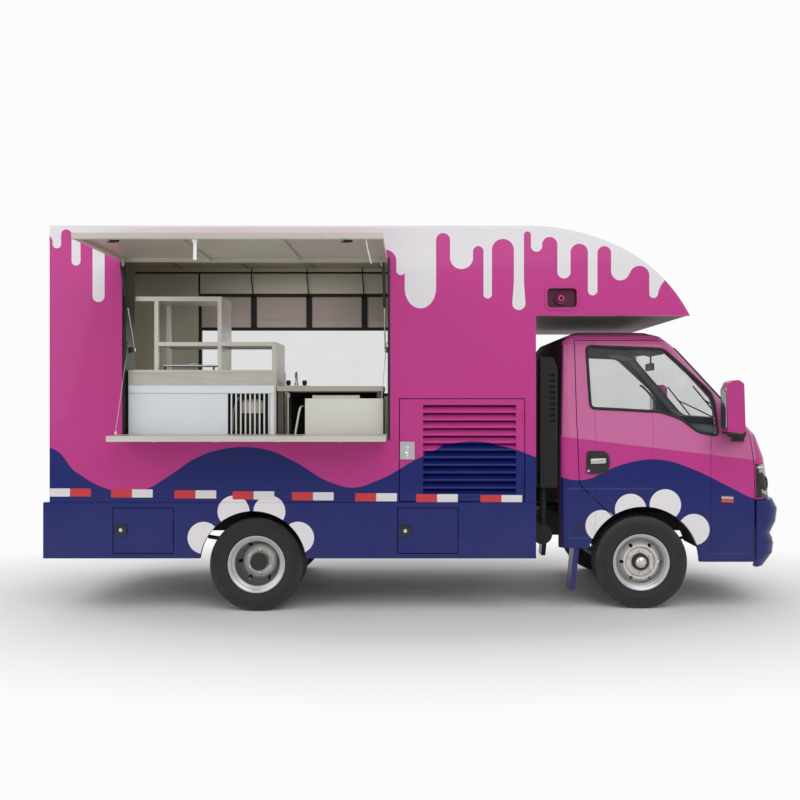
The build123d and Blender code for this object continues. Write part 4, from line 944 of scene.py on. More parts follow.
@dataclass(frozen=True)
class Livery(Finish):
    """The body paint: pink over navy with a wavy edge, white drips and a row of dots, and a painted pale sheen above
    long creases.
    """

    half: float
    wave: tuple[Flat, ...]
    dots: tuple[Flat, ...]
    dot_radius: float = 0.114
    drips: tuple[Column, ...] = ()
    gaps: tuple[Column, ...] = ()
    roof: float = 9.0
    nose: float = 1.95
    hinge: Flat | None = None
    creases: tuple[Crease, ...] = ()

    def build(self, graph: Graph) -> None:
        """Adds the nodes."""
        x, z = graph.place(Axis.X), graph.place(Axis.Z)
        out = (graph.place(Axis.Y) - MIDDLE).size()
        along = x + x.maths("SIGN") * (self.half - out)
        if self.hinge:
            along, z = x, self.hinge[1] + self.hinge[0] - out
        elif self.drips:
            along = along + (graph.facing(Axis.Y).size() < 0.7) * (x > 0.85) * (self.nose - x)
        low = z < self._wave_height(graph, along)
        base = graph.mix(low, PINK, NAVY)
        if self.dots:
            base = graph.mix(self._dots(x, z) * (out > self.half - 0.12), base, DOT_WHITE)
        if self.drips:
            base = graph.mix(self._drips(along, z), base, CREAM)
        cloud = graph.noise(1.3, 3.0)
        dirt = (1 - z.between(0.35, 1.0)) * graph.noise(5.0, 5.0) * 0.12
        faded_and_sheen = graph.mix(cloud * 0.012, base, srgb(235, 225, 230))
        speck = graph.noise(90.0, 2.0)
        height = graph.noise(2.4, 1.0) * 0.0006 + graph.noise(240.0, 1.0) * 0.00002
        for crease in self.creases:
            height = height + crease.height(x, z)
            # Painted highlight: above a long crease, near the side, the paint is mixed towards pale pink as a painted
            # reflection of the sky.
            if crease.reach > 0.1:
                faded_and_sheen = graph.mix(
                    (crease.above(x, z) > 0.002) * (out > self.half - 0.15) * 0.13, faded_and_sheen, srgb(238, 214, 236)
                )
        graph.surface(
            Base_Color=graph.mix(dirt, faded_and_sheen, srgb(112, 104, 98)), Roughness=speck * 0.05 + 0.24 + dirt * 0.4,
            Specular_IOR_Level=0.2, Coat_Weight=0.25, Coat_Roughness=0.05, Normal=graph.bump(height, 1.0),
        )

    def _wave_height(self, graph: Graph, along: Value) -> Value:
        """The height of the wavy edge."""
        start, end = self.wave[0][0], self.wave[-1][0]
        points = [((place - start) / (end - start), height / 2) for place, height in self.wave]
        share = (along - start) / (end - start)
        return graph.node("ShaderNodeFloatCurve", {"curve": points}, {"Factor": 1.0, "Value": share.clamped()}) * 2.0

    def _dots(self, x: Value, z: Value) -> Value:
        """1 inside the dots."""
        nearest = None
        for middle, height in self.dots:
            across, up = x - middle, z - height
            reach = across * across + up * up
            nearest = reach if nearest is None else nearest.least(reach)
        return nearest < self.dot_radius**2

    def _drips(self, along: Value, z: Value) -> Value:
        """1 where the white runs."""
        white = z > self.roof
        for drip in self.drips:
            across = along - drip.along
            above = z - (drip.end + drip.half * drip.point)
            hang = above.least(0.0) / drip.point
            wide = above.between(0.0, 0.16) * (drip.half * (drip.neck - 1.0)) + drip.half
            white = white.most(across * across + hang * hang < wide * wide)
        for gap in self.gaps:
            across = along - gap.along
            arch = (gap.half**2 - across * across).most(0.0).root() + (gap.end - gap.half)
            white = white.most((across.size() < gap.half) * (z > arch))
        return white


BOX_PAINT = Livery("box paint", BOX_HALF, BOX_WAVE, REAR_DOTS, drips=DRIPS, gaps=GAPS, roof=2.752)
AWNING_PAINT = Livery(
    "awning paint", BOX_HALF, BOX_WAVE, (), drips=DRIPS, gaps=GAPS, roof=2.752, hinge=(0.934, 2.545)
)
SKIRT_PAINT = Livery("skirt paint", BOX_HALF + SKIRT_PROUD, ((-3.6, 1.5), (1.8, 1.5)), REAR_DOTS)
CAB_PAINT = Livery("cab paint", CAB_HALF, CAB_WAVE, FRONT_DOTS, creases=CAB_CREASES)
STAINLESS = Brushed("stainless steel")
PALE_STEEL = Brushed("pale stainless steel", Axis.X, (0.70, 0.67, 0.60), 0.40, 0.55)
DARK_STEEL = Brushed("dark upright steel", Axis.Z, (0.11, 0.10, 0.085), 0.42, 0.6)
WORKTOP_STEEL = Brushed("worktop steel", Axis.X, (0.52, 0.48, 0.39), 0.38, 0.6)
CABINET_STEEL = Brushed("cabinet steel", Axis.Z, (0.86, 0.86, 0.80), 0.42, 0.35)
GREY_STEEL = Brushed("grey stainless steel", Axis.Z, (0.34, 0.34, 0.33), 0.38, 0.7)
AWNING_STEEL = Brushed("awning lining steel", Axis.X, (0.62, 0.58, 0.48), 0.40, 0.5)
CEILING_STEEL = Brushed("ceiling steel", Axis.X, (0.68, 0.63, 0.52), 0.38, 0.6)
WALL_STEEL = Brushed("wall lining steel", Axis.Z, (0.76, 0.71, 0.60), 0.36, 0.55)
# Near-black steel for the underside of the box's overhang: painted shade under it.
NOSE_SHADE_STEEL = Brushed("nose underside steel", Axis.X, (0.16, 0.13, 0.10), 0.45, 0.5)
# Dark matt coat for the cab's back and the doors' rear edges: painted shade in place of the pink paint there.
CAB_BACK_SHADE = Moulded("cab back coating", srgb(62, 18, 42), 0.9)
POLISHED = Chrome("polished steel")
CHROME = Chrome("chrome plate", roughness=0.04)
MIRROR_GLASS = Chrome("mirror glass", (0.82, 0.84, 0.86), 0.015)
BLACK_PLASTIC = Moulded("black plastic", srgb(26, 26, 28))
GREY_PLASTIC = Moulded("grey plastic", srgb(92, 93, 96), 0.6)
DASH_PLASTIC = Moulded("dashboard plastic", srgb(52, 53, 56), 0.62, 0.0004)
LINER_PLASTIC = Moulded("liner plastic", srgb(16, 16, 17), 0.75, 0.0006)
SEAL_RUBBER = Moulded("seal rubber", srgb(18, 18, 19), 0.6, 0.0001)
WHITE_PLASTIC = Moulded("white plastic", srgb(222, 222, 218), 0.4, 0.0001)
BEIGE_PANEL = Moulded("beige panel", srgb(186, 182, 172), 0.5, 0.0001)
WHITE_PANEL = Enamel("white cabinet enamel", srgb(236, 244, 252), 0.3, 0.3, 0.0)
LAMP_DARK = Moulded("lamp housing", srgb(14, 14, 15), 0.35, 0.0001)
DARK_CHROME = Chrome("smoked reflector", (0.24, 0.23, 0.22), 0.14)
DARK_GRILLE = Enamel("grille paint", srgb(24, 24, 26), 0.45, 0.1)
CHASSIS_PAINT = CastMetal("chassis paint")
CAST = CastMetal("cast iron", (0.05, 0.05, 0.052), 0.55)
NAVY_ENAMEL = Enamel("navy enamel", NAVY, 0.26, 0.25)
PINK_ENAMEL = Enamel("pink enamel", PINK, 0.26, 0.25, 0.0)
MAGENTA = Enamel("deep magenta enamel", srgb(110, 22, 72), 0.35, 0.4, 0.0)
# Darker pink for the horn's recessed pan and bell: painted shade of the recess.
HORN_SHADE_PAINT = Enamel("horn enamel", srgb(88, 10, 56), 0.4, 0.2, 0.0)
RED_FILM = Film("red reflective film", srgb(206, 44, 50))
WHITE_FILM = Film("white reflective film", srgb(228, 224, 226))
AMBER = Lens("amber lens", srgb(224, 92, 40))
DOT_LENS = Lens("pale side lens", srgb(214, 196, 200))
RED_LENS = Lens("red lens", srgb(170, 18, 20))
CLEAR_LENS = Lens("clear lamp lens", srgb(214, 220, 226), 0.22, 300.0)
HEAD_LENS = Lens("headlamp lens", srgb(58, 56, 54), 0.42, 300.0)
LED_STRIP = Lens("ceiling lamp lens", srgb(240, 240, 236), 0.97, 500.0)
WINDOW_GLASS = ClearGlass("window glass")
PANE_GLASS = ClearGlass("frosted pane glass", srgb(184, 170, 162), 0.92)
SEAT_CLOTH = Cloth("seat cloth", srgb(46, 47, 52))
FLOOR_PLATE = Chequer("tread plate")
PLATE_BLANK = Enamel("blank plate enamel", srgb(214, 214, 208), 0.35, 0.3)


def slotted(node: str, finishes: Sequence[Finish], choose: Callable[[Vector, Vector], int]) -> None:
    """Gives a CAD node several finishes, face by face.

    Args:
        node: The node's name.
        finishes: The finishes, in order.
        choose: Takes a face's centre and normal and gives the finish's place in that order.
    """
    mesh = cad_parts[node].data
    mesh.materials.clear()
    for finish in finishes:
        mesh.materials.append(finish.material())
    for face in mesh.polygons:
        face.material_index = choose(face.center, face.normal)
    LOG.info("%s takes %s", node, ", ".join(finish.name for finish in finishes))


def coated(finish: Finish, *nodes: str) -> None:
    """Gives CAD nodes one finish."""
    for node in nodes:
        slotted(node, (finish,), lambda centre, normal: 0)


class Skin:
    """The outside of some CAD nodes, for laying trim on it."""

    def __init__(self, *nodes: str) -> None:
        """Gathers the nodes' faces."""
        vertices: list[Vector] = []
        faces: list[tuple[int, ...]] = []
        for node in nodes:
            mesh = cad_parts[node].data
            start = len(vertices)
            vertices += [vertex.co.copy() for vertex in mesh.vertices]
            faces += [tuple(start + index for index in face.vertices) for face in mesh.polygons]
        self.tree = BVHTree.FromPolygons(vertices, faces)

    def beside(self, side: Side, x: float, z: float, proud: float = 0.0) -> Vector:
        """The point of the side at X and Z, moved out by a distance."""
        start = Vector((x, side.y(3.0), z))
        hit = self.tree.ray_cast(start, Vector((0, -side.value, 0)))[0]
        if hit is None:
            raise ValueError(f"nothing beside x {x} z {z}")
        return hit + Vector((0, side.value * proud, 0))

    def ahead(self, out: float, z: float, proud: float = 0.0) -> Vector:
        """The point of the front at a distance from the middle and Z, moved forward."""
        start = Vector((5.0, MIDDLE + out, z))
        hit = self.tree.ray_cast(start, Vector((-1, 0, 0)))[0]
        if hit is None:
            raise ValueError(f"nothing ahead at y {out} z {z}")
        return hit + Vector((proud, 0, 0))


@dataclass
class RunningGear:
    """The wheels, axles, springs, frame and engine."""

    bolt_circle: float = 0.084

    def build(self) -> None:
        """Dresses the chassis and adds the wheels' small parts."""
        coated(CHASSIS_PAINT, "chassis_frame", "leaf_springs", "fuel_tank")
        coated(CAST, "front_axle", "rear_axle", "engine", "exhaust", "knuckle_left", "knuckle_right")
        coated(LINER_PLASTIC, "wheel_liners", "air_intake")
        coated(NAVY_ENAMEL, "mud_flaps")
        for side in Side:
            self._wheels(side)
            self._dampers(side)

    def _wheels(self, side: Side) -> None:
        """Finishes one side's wheels and adds their caps, rings, nuts and valves."""
        coated(Tyre(f"front tyre rubber {side.word}", FRONT_AXLE_X), f"front_tyre_{side.word}")
        coated(Tyre(f"rear tyre rubber {side.word}", REAR_AXLE_X), f"rear_tyres_{side.word}")
        coated(WheelSteel(f"front wheel steel {side.word}", FRONT_AXLE_X), f"front_rim_{side.word}")
        coated(
            WheelSteel(f"rear wheel steel {side.word}", REAR_AXLE_X, dark_hub=0.066, well=(0.122, 0.166)),
            f"rear_rims_{side.word}"
        )
        face = side.y(FRONT_WHEEL_OUT)
        cap = Piece.turned(
            f"hub_cap_{side.word}",
            ((0.070, 0.0), (0.070, 0.034), (0.080, 0.034), (0.088, 0.026), (0.090, 0.012), (0.090, 0.0)),
            (FRONT_AXLE_X, face, AXLE_Z), Axis.Y, 32, side.value
        )
        cap.smooth(40).dress(CHROME, f"front_wheel_{side.word}", "rim")
        ring = Piece.turned(
            f"hub_ring_{side.word}",
            ((0.034, 0.0485), (0.064, 0.0465), (0.0745, 0.041), (0.0745, 0.056), (0.066, 0.0615), (0.034, 0.0635)),
            (FRONT_AXLE_X, face, AXLE_Z), Axis.Y, 32, side.value
        )
        ring.smooth(40).dress(DARK_GRILLE, f"front_wheel_{side.word}", "rim")
        self._nuts(side, f"front_nuts_{side.word}", FRONT_AXLE_X, face, 0.037, f"front_wheel_{side.word}")
        rear_face = side.y(REAR_WHEEL_OUT - TWIN_SPACING / 2)
        self._nuts(side, f"rear_nuts_{side.word}", REAR_AXLE_X, rear_face, 0.007, f"rear_wheels_{side.word}")
        for name, x, plane, body in (
                ("front", FRONT_AXLE_X, face + side.value * 0.046, f"front_wheel_{side.word}"),
                ("rear", REAR_AXLE_X, rear_face + side.value * 0.05, f"rear_wheels_{side.word}")
        ):
            stem = Piece.tube(
                f"{name}_valve_{side.word}", ((x + 0.158, plane - side.value * 0.01, AXLE_Z),
                (x + 0.150, plane + side.value * 0.012, AXLE_Z), (x + 0.148, plane + side.value * 0.026, AXLE_Z)),
                0.004, smooth=True
            )
            stem.dress(SEAL_RUBBER, body, "rubber")

    def _nuts(self, side: Side, name: str, axle_x: float, face: float, out: float, body: str) -> None:
        """Six wheel nuts with washers and stud ends, over the plain ones of the frame."""
        centre = (axle_x, face, AXLE_Z)
        place = (axle_x + self.bolt_circle * cos(radians(30)), face, AXLE_Z - self.bolt_circle * sin(radians(30)))
        nut = Piece.turned(
            name, ((out, 0.0), (out, 0.0145), (out + 0.003, 0.0145), (out + 0.0035, 0.0125), (out + 0.019, 0.0118),
            (out + 0.021, 0.010), (out + 0.021, 0.006), (out + 0.027, 0.0055), (out + 0.028, 0.0)), place, Axis.Y, 6,
            side.value
        )
        nut.ring(6, Axis.Y, centre).smooth(20).dress(POLISHED, body, "rim")

    def _dampers(self, side: Side) -> None:
        """A telescopic damper beside each spring."""
        for name, x in (("front", FRONT_AXLE_X - 0.10), ("rear", REAR_AXLE_X + 0.12)):
            low = (x, side.y(0.300), AXLE_Z - 0.01)
            high = (x + 0.10, side.y(0.325), 0.60)
            middle = tuple((a + b) / 2 for a, b in zip(low, high))
            body = Piece.tube(f"{name}_damper_{side.word}", (middle, high), 0.026)
            rod = Piece.tube(f"{name}_damper_rod_{side.word}", (low, middle), 0.018)
            body.join(rod).dress(CHASSIS_PAINT, slot="steel_frame")


@dataclass
class BoxBody:
    """The box, its skirt, marker strips, lamps and window."""

    side_y: float = BOX_HALF
    skirt_y: float = BOX_HALF + SKIRT_PROUD
    strip_starts: tuple[float, ...] = (-2.663, -2.222, -1.768, -1.353, -0.929, -0.477, -0.042, 0.418)
    strip_half: float = 0.150
    strip_height: float = 0.058

    def build(self) -> None:
        """Dresses the box and adds its trim."""
        for side in Side:
            slotted(f"box_side_{side.word}", (BOX_PAINT, WALL_STEEL),
                    lambda centre, normal, side=side: 1 if normal.y * side.value < -0.5 else 0)
            slotted(f"skirt_{side.word}", (SKIRT_PAINT, CHASSIS_PAINT),
                    lambda centre, normal, side=side: 0 if abs(centre.y - MIDDLE) > BOX_HALF else 1)
            self._strips(side)
            self._side_trim(side)
        slotted(
            "box_roof", (BOX_PAINT, CEILING_STEEL), lambda centre,
            normal: 0 if self._outside_roof(centre, normal) else 1
        )
        # Downward faces of the box front take the near-black steel: painted shade under the overhang.
        slotted("box_front", (BOX_PAINT, WALL_STEEL, NOSE_SHADE_STEEL),
                lambda centre, normal: 2 if normal.z < -0.5 else 0 if normal.x > 0.5 else 1)
        slotted("box_rear", (BOX_PAINT, WALL_STEEL), lambda centre, normal: 0 if normal.x < -0.5 else 1)
        slotted("box_floor", (FLOOR_PLATE, CHASSIS_PAINT), lambda centre, normal: 0 if normal.z > 0.5 else 1)
        coated(SKIRT_PAINT, "rear_skirt", "locker_door_front", "locker_door_rear")
        coated(RED_LENS, "tail_lamps")
        coated(STAINLESS, "locker_boxes")
        # The bay's faces that look out through the louvres, down and forward are dark liner: painted shade behind the
        # louvres' gaps.
        slotted("equipment_bay", (STAINLESS, LINER_PLASTIC),
                lambda centre, normal: 0 if max(normal.z, normal.y, -normal.x) > 0.5 else 1)
        slotted("louvre_door", (BOX_PAINT, POLISHED), self._louvre_face)
        slotted("horn", (PINK_ENAMEL, HORN_SHADE_PAINT), self._horn_face)
        slotted(
            "side_window_glass", (WINDOW_GLASS, PANE_GLASS), lambda centre, normal: 1 if centre.z > WINDOW_RAIL else 0
        )
        coated(WINDOW_GLASS, "rear_door_glass")
        coated(BLACK_PLASTIC, "side_window_frame")
        slotted("rear_door", (BOX_PAINT, WALL_STEEL, POLISHED), self._rear_door_face)
        self._lock_plates()
        self._louvre_lips()
        self._rear()
        self._horn_ring()

    @staticmethod
    def _outside_roof(centre: Vector, normal: Vector) -> bool:
        """Whether a face of the roof is its outer skin."""
        return normal.z > 0.05 or normal.x > 0.5

    @staticmethod
    def _louvre_face(centre: Vector, normal: Vector) -> int:
        """Steel on the latch, paint elsewhere."""
        return 1 if centre.y < MIDDLE - BOX_HALF - 0.0015 and centre.x < -0.04 else 0

    @staticmethod
    def _horn_face(centre: Vector, normal: Vector) -> int:
        """Pink rim; darker pink on the recessed pan and bell, painted shade of the recess."""
        return 0 if MIDDLE - BOX_HALF - centre.y > -0.0005 else 1

    @staticmethod
    def _rear_door_face(centre: Vector, normal: Vector) -> int:
        """Paint outside, steel inside, and a bright handle."""
        if centre.x < -2.6605:
            return 2
        return 1 if normal.x > 0.5 else 0

    def _strips(self, side: Side) -> None:
        """The red and white marker strips just above the skirt."""
        groups: dict[tuple[str, Finish], list[Piece]] = {}
        for index, start in enumerate(self.strip_starts):
            base = 0.836 - 0.0068 * index
            on_door = side is Side.RIGHT and start > -0.1
            body = "louvre_door" if on_door else "truck"
            white_first = index == 0
            for half in range(2):
                low = start + half * self.strip_half
                white = white_first == (half == 0)
                finish = WHITE_FILM if white else RED_FILM
                piece = Piece.outline(
                    f"marker_{side.word}_{index}_{half}",
                    rect(low + 0.001, base, low + self.strip_half - 0.001, base + self.strip_height), Axis.Y,
                    side.y(self.side_y), side.value * 0.0008, corner=0.003, steps=3
                )
                groups.setdefault((body, finish), []).append(piece)
        for (body, finish), pieces in groups.items():
            colour = "red" if finish is RED_FILM else "white"
            joined = pieces[0].join(*pieces[1:]) if len(pieces) > 1 else pieces[0]
            joined.obj.name = f"{colour}_markers_{side.word}_{body}"
            joined.dress(finish, body, "body_paint")

    def _side_trim(self, side: Side) -> None:
        """The folded lip along the top of the skirt."""
        lip = Piece.outline(
            f"skirt_lip_{side.word}", ((side.y(self.side_y), 0.7905), (side.y(self.skirt_y), 0.7905),
            (side.y(self.skirt_y), 0.7925), (side.y(self.side_y), 0.797)), Axis.X, -2.70, 3.514
        )
        lip.dress(SKIRT_PAINT, slot="skirt_paint")

    def _lock_plates(self) -> None:
        """Key locks on the two locker doors and the latch of the louvre door."""
        for name, x, z in (("rear", -2.146, 0.598), ("front", -0.118, 0.592)):
            y = MIDDLE - self.skirt_y - 0.005
            plate = Piece.outline(f"locker_lock_{name}", rect(x - 0.042, z - 0.038, x + 0.042, z + 0.038),
                                  Axis.Y, y, -0.004, corner=0.006)
            plate.inset(towards(Axis.Y, -1), 0.006, -0.002)
            plate.soften(0.001).dress(BLACK_PLASTIC, f"locker_door_{name}")
            barrel = Piece.turned(
                f"locker_key_{name}", ((0.0, 0.0), (0.0, 0.013), (0.004, 0.013), (0.005, 0.011), (0.005, 0.004),
                (0.003, 0.003), (0.003, 0.0)), (x, y - 0.002, z), Axis.Y, 20, -1.0
            )
            barrel.smooth(30).dress(CHROME, f"locker_door_{name}", "stainless")
        x, y, z = -0.103, MIDDLE - BOX_HALF - 0.016, 1.170
        paddle = Piece.outline(
            "louvre_latch", rect(x - 0.016, z - 0.026, x + 0.016, z + 0.028), Axis.Y, y, -0.005, corner=0.006
        )
        paddle.inset(towards(Axis.Y, -1), 0.004, -0.002).soften(0.0012)
        paddle.dress(POLISHED, "louvre_door", "stainless")
        key = Piece.turned("louvre_key", ((0.0, 0.0), (0.0, 0.010), (0.004, 0.010), (0.005, 0.008), (0.005, 0.0)),
                           (x - 0.002, MIDDLE - BOX_HALF - 0.006, z - 0.048), Axis.Y, 16, -1.0)
        key.smooth(30).dress(CHROME, "louvre_door", "stainless")

    def _louvre_lips(self) -> None:
        """The rolled lip along the lower edge of each louvre."""
        y, z = MIDDLE - self.side_y, 0.838 + LOUVRE_PITCH / 2
        lip = Piece.outline(
            "louvre_lips", ((y + 0.0035, z - 0.012), (y + 0.0008, z - 0.015), (y + 0.0003, z - 0.021),
            (y + 0.0018, z - 0.027), (y + 0.0060, z - 0.0305), (y + 0.0100, z - 0.0305), (y + 0.0100, z - 0.0285),
            (y + 0.0055, z - 0.0245), (y + 0.0065, z - 0.0135)), Axis.X, 0.0095, 0.663
        )
        lip.repeat([(0, 0, LOUVRE_PITCH * index) for index in range(1, LOUVRE_COUNT)])
        lip.smooth(50).dress(BOX_PAINT, "louvre_door", "body_paint")

    def _horn_ring(self) -> None:
        """The bright ring round the horn's mouth."""
        ring = Piece.turned(
            "horn_ring", ((-0.004, 0.012), (0.004, 0.012), (0.006, 0.016), (0.003, 0.023), (-0.004, 0.024)),
            (0.998, MIDDLE - BOX_HALF + 0.014, 2.2555), Axis.Y, 32
        )
        ring.smooth(40).dress(PINK_ENAMEL, slot="body_paint")

    def _rear(self) -> None:
        """Lamp bezels, the blank number plate, hinges and high lamps of the rear."""
        for side in Side:
            low, high = sorted((side.y(0.561), side.y(0.799)))
            bezel = Piece.tube(
                f"tail_bezel_{side.word}", self._round_frame(-2.6975, low - 0.005, high + 0.005, 0.596, 0.704, 0.010),
                0.0048, closed=True
            )
            bezel.dress(BLACK_PLASTIC)
            for kind, finish, start in (
                    ("brake", RED_LENS, 0.0), ("turn", AMBER, 0.085), ("reverse", WHITE_FILM, 0.165)
            ):
                first = low + 0.006 + (start if side is Side.LEFT else 0.165 - start)
                lamp = Piece.outline(f"tail_{kind}_{side.word}", rect(first, 0.607, first + 0.062, 0.693),
                                     Axis.X, -2.7010, -0.0016, corner=0.008)
                lamp.soften(0.0004).dress(finish, slot="tail_lamp")
            y = side.y(0.80)
            high_lamp = Piece.outline(
                f"high_lamp_{side.word}", rect(y - 0.04, 2.655, y + 0.04, 2.690), Axis.X, -2.6601, -0.012,
                corner=0.012
            )
            high_lamp.soften(0.003, 3).dress(RED_LENS, slot="tail_lamp")
        plate = Piece.outline(
            "rear_plate", rect(MIDDLE - PLATE_HALF, 0.605, MIDDLE + PLATE_HALF, 0.745), Axis.X, -2.6952, -0.0035,
            corner=0.008
        )
        plate.inset(towards(Axis.X, -1), 0.008, 0.0008)
        plate.dress(PLATE_BLANK)
        for index, z in enumerate((1.05, 1.75, 2.45)):
            y = MIDDLE + 0.424
            leaf = Piece.outline(
                f"rear_hinge_{index}", rect(y, z - 0.05, y + 0.05, z + 0.05), Axis.X, -2.6601, -0.003, corner=0.006
            )
            screw = Piece.turned(
                f"rear_hinge_screws_{index}", ((0.0, 0.0), (0.0, 0.005), (0.0015, 0.0042), (0.002, 0.0)),
                (-2.6631, y + 0.028, z - 0.034), Axis.X, 12, -1.0
            )
            screw.repeat([(0, 0, 0.034), (0, 0, 0.068)])
            leaf.soften(0.001).join(screw).smooth(40).dress(POLISHED, slot="stainless")
        seal = Piece.tube(
            "rear_window_seal", self._round_frame(-2.6603, MIDDLE - 0.15, MIDDLE + 0.27, 1.70, 2.30, 0.05), 0.006,
            closed=True
        )
        seal.dress(SEAL_RUBBER, "rear_door", "rubber")

    @staticmethod
    def _round_frame(x: float, left: float, right: float, base: float, top: float, corner: float) -> list[Point]:
        """Points round an upright rectangle with round corners."""
        points = []
        for turn, (y, z) in enumerate(rect(right - corner, top - corner, left + corner, base + corner)):
            for step in range(5):
                angle = radians(90 * turn + 22.5 * step)
                points.append((x, y + corner * cos(angle), z + corner * sin(angle)))
        return points


@dataclass
class ServiceHatch:
    """The awning, its struts, the folded-out shelf and the inside of the opening."""

    rear: float = -2.142
    front: float = -0.242
    base: float = 1.240
    top: float = 2.545
    shelf_y: float = MIDDLE - 0.939
    shelf_reach: float = 0.340
    shelf_top: float = 1.282
    awning_base: float = 2.507

    def build(self) -> None:
        """Dresses the awning, struts and shelf and adds their fittings."""
        slotted("awning", (AWNING_PAINT, AWNING_STEEL), lambda centre, normal: 1 if normal.z < 0.5 else 0)
        coated(PALE_STEEL, "counter_shelf")
        coated(BLACK_PLASTIC, "strut_barrels")
        coated(POLISHED, "strut_rods")
        coated(DARK_STEEL, "jamb_panels")
        self._awning_trim()
        self._awning_pulls()
        self._shelf_trim()
        self._stays()
        self._seals()

    def _awning_trim(self) -> None:
        """The awning's edge angle, rivets and catches."""
        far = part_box("awning")[0].y
        x0, x1 = self.rear + 0.005, self.front - 0.005
        base = self.awning_base
        edge = Piece.outline(
            "awning_edge", ((far + 0.0005, base - 0.0035), (far + 0.030, base - 0.0035), (far + 0.030, base - 0.001),
            (far + 0.0030, base - 0.001), (far + 0.0005, base - 0.001)), Axis.X, x0 + 0.002, x1 - x0 - 0.004
        )
        edge.dress(PALE_STEEL, "awning", "stainless")
        rivet = Piece.turned("awning_rivets", ((0.0, 0.0), (0.0, 0.006), (0.002, 0.005), (0.003, 0.0)),
                             (x0 + 0.05, far + 0.018, base - 0.0035), Axis.Z, 10, -1.0)
        rivet.repeat([(0.15 * index, 0, 0) for index in range(1, 13)])
        rivet.smooth(50).dress(POLISHED, "awning", "stainless")
        for name, x in (("rear", -1.895), ("front", -0.462)):
            catch = Piece.outline(f"awning_catch_{name}", rect(x - 0.028, far + 0.038, x + 0.028, far + 0.072),
                                  Axis.Z, base + 0.022, -0.034, corner=0.008)
            catch.inset(towards(Axis.Z, -1), 0.007, -0.004)
            tongue = Piece.outline(f"awning_tongue_{name}", rect(x - 0.045, far + 0.048, x + 0.010, far + 0.062),
                                   Axis.Z, base - 0.010, -0.006, corner=0.004)
            catch.join(tongue).soften(0.0015).dress(BLACK_PLASTIC, "awning")

    def _awning_pulls(self) -> None:
        """The white pull strap and the thin cord below the far frame."""
        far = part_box("awning")[0].y
        y, z = far + 0.020, self.awning_base
        strap = Piece.outline(
            "awning_strap", ((-1.403, z + 0.001), (-1.383, z + 0.001), (-1.381, z - 0.060), (-1.382, z - 0.128),
            (-1.404, z - 0.128), (-1.402, z - 0.060)), Axis.Y, y, 0.003, corner=0.004
        )
        clip = Piece.outline(
            "awning_strap_clip", rect(-1.410, z, -1.376, z - 0.018), Axis.Y, y - 0.003, 0.009, corner=0.004
        )
        strap.join(clip).soften(0.001).dress(WHITE_PLASTIC, "awning")
        cord = Piece.tube(
            "awning_cord", ((-0.352, y, z + 0.004), (-0.345, y + 0.003, z - 0.040), (-0.332, y + 0.006, z - 0.095),
            (-0.318, y + 0.008, z - 0.150)), 0.0030, smooth=True
        )
        cord.dress(WHITE_PLASTIC, "awning")
        for pull, x in ((strap, -1.393), (cord, -0.345)):
            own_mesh(pull.obj)

    def _shelf_trim(self) -> None:
        """The shelf's eyebolts and the ribs under it."""
        far = self.shelf_y - self.shelf_reach
        x0, x1 = self.rear + 0.005, self.front - 0.005
        for index, x in enumerate((x0 + 0.05, x1 - 0.05)):
            eye = Piece.turned(f"shelf_eye_{index}", rect(-0.003, 0.010, 0.003, 0.016),
                               (x, far + 0.05, self.shelf_top + 0.018), Axis.X, 20)
            foot = Piece.turned(
                f"shelf_eye_foot_{index}",
                ((0.0, 0.0), (0.0, 0.012), (0.002, 0.012), (0.003, 0.004), (0.006, 0.003), (0.006, 0.0)),
                (x, far + 0.05, self.shelf_top), Axis.Z, 16
            )
            eye.join(foot).smooth(40).dress(POLISHED, "counter_shelf", "stainless")
        ribs = Piece.outline(
            "shelf_ribs", rect(far + 0.03, 1.2445, self.shelf_y - 0.03, 1.2405), Axis.X, x0 + 0.3, 0.03
        )
        ribs.repeat([(0.42 * index, 0, 0) for index in range(1, 4)]).dress(PALE_STEEL, "counter_shelf", "stainless")

    def _stays(self) -> None:
        """The two thin cables that hold the shelf level."""
        far = self.shelf_y - self.shelf_reach
        for name, x, inner in (
                ("rear", self.rear + 0.055, self.rear + 0.012), ("front", self.front - 0.055, self.front - 0.012)
        ):
            start = Vector((x, far + 0.05, self.shelf_top + 0.030))
            end = Vector((inner, MIDDLE - BOX_HALF + 0.10, 1.94))
            points = [start.lerp(end, step / 16) for step in range(17)]
            stay = Piece.tube(f"shelf_stay_{name}", points, 0.0024)
            stay.blended(POLISHED, ("counter_shelf", "truck"), tuple(start), tuple(end), "stainless")
            pin = Piece.turned(
                f"stay_pin_{name}", ((0.0, 0.0), (0.0, 0.007), (0.010, 0.006), (0.012, 0.0)),
                (self.rear if name == "rear" else self.front, end.y, end.z), Axis.X, 16,
                1.0 if name == "rear" else -1.0
            )
            pin.smooth(40).dress(POLISHED, slot="stainless")

    def _seals(self) -> None:
        """Black rubber strips down the two jambs and along the head and sill of the opening."""
        y0, y1 = MIDDLE - BOX_HALF + 0.004, MIDDLE - 0.846
        for name, x, depth in (("rear", self.rear, 0.0022), ("front", self.front, -0.0022)):
            seal = Piece.outline(
                f"jamb_seal_{name}", rect(y0, self.base + 0.003, y1, self.top - 0.003), Axis.X, x, depth, corner=0.004
            )
            seal.soften(0.0006).dress(SEAL_RUBBER, slot="rubber")
        edge = Piece.outline("edge_trim", rect(self.front, self.base, self.front + 0.016, self.top),
                             Axis.Y, MIDDLE - BOX_HALF, -0.0016, corner=0.003)
        edge.soften(0.0005).dress(SEAL_RUBBER, slot="rubber")
        for name, z, depth in (("head", self.top, -0.0015), ("sill", self.base, 0.0015)):
            strip = Piece.outline(f"{name}_seal", rect(self.rear + 0.004, y0 + 0.026, self.front - 0.004, y0 + 0.036),
                                  Axis.Z, z, depth, corner=0.002)
            strip.dress(SEAL_RUBBER, slot="rubber")


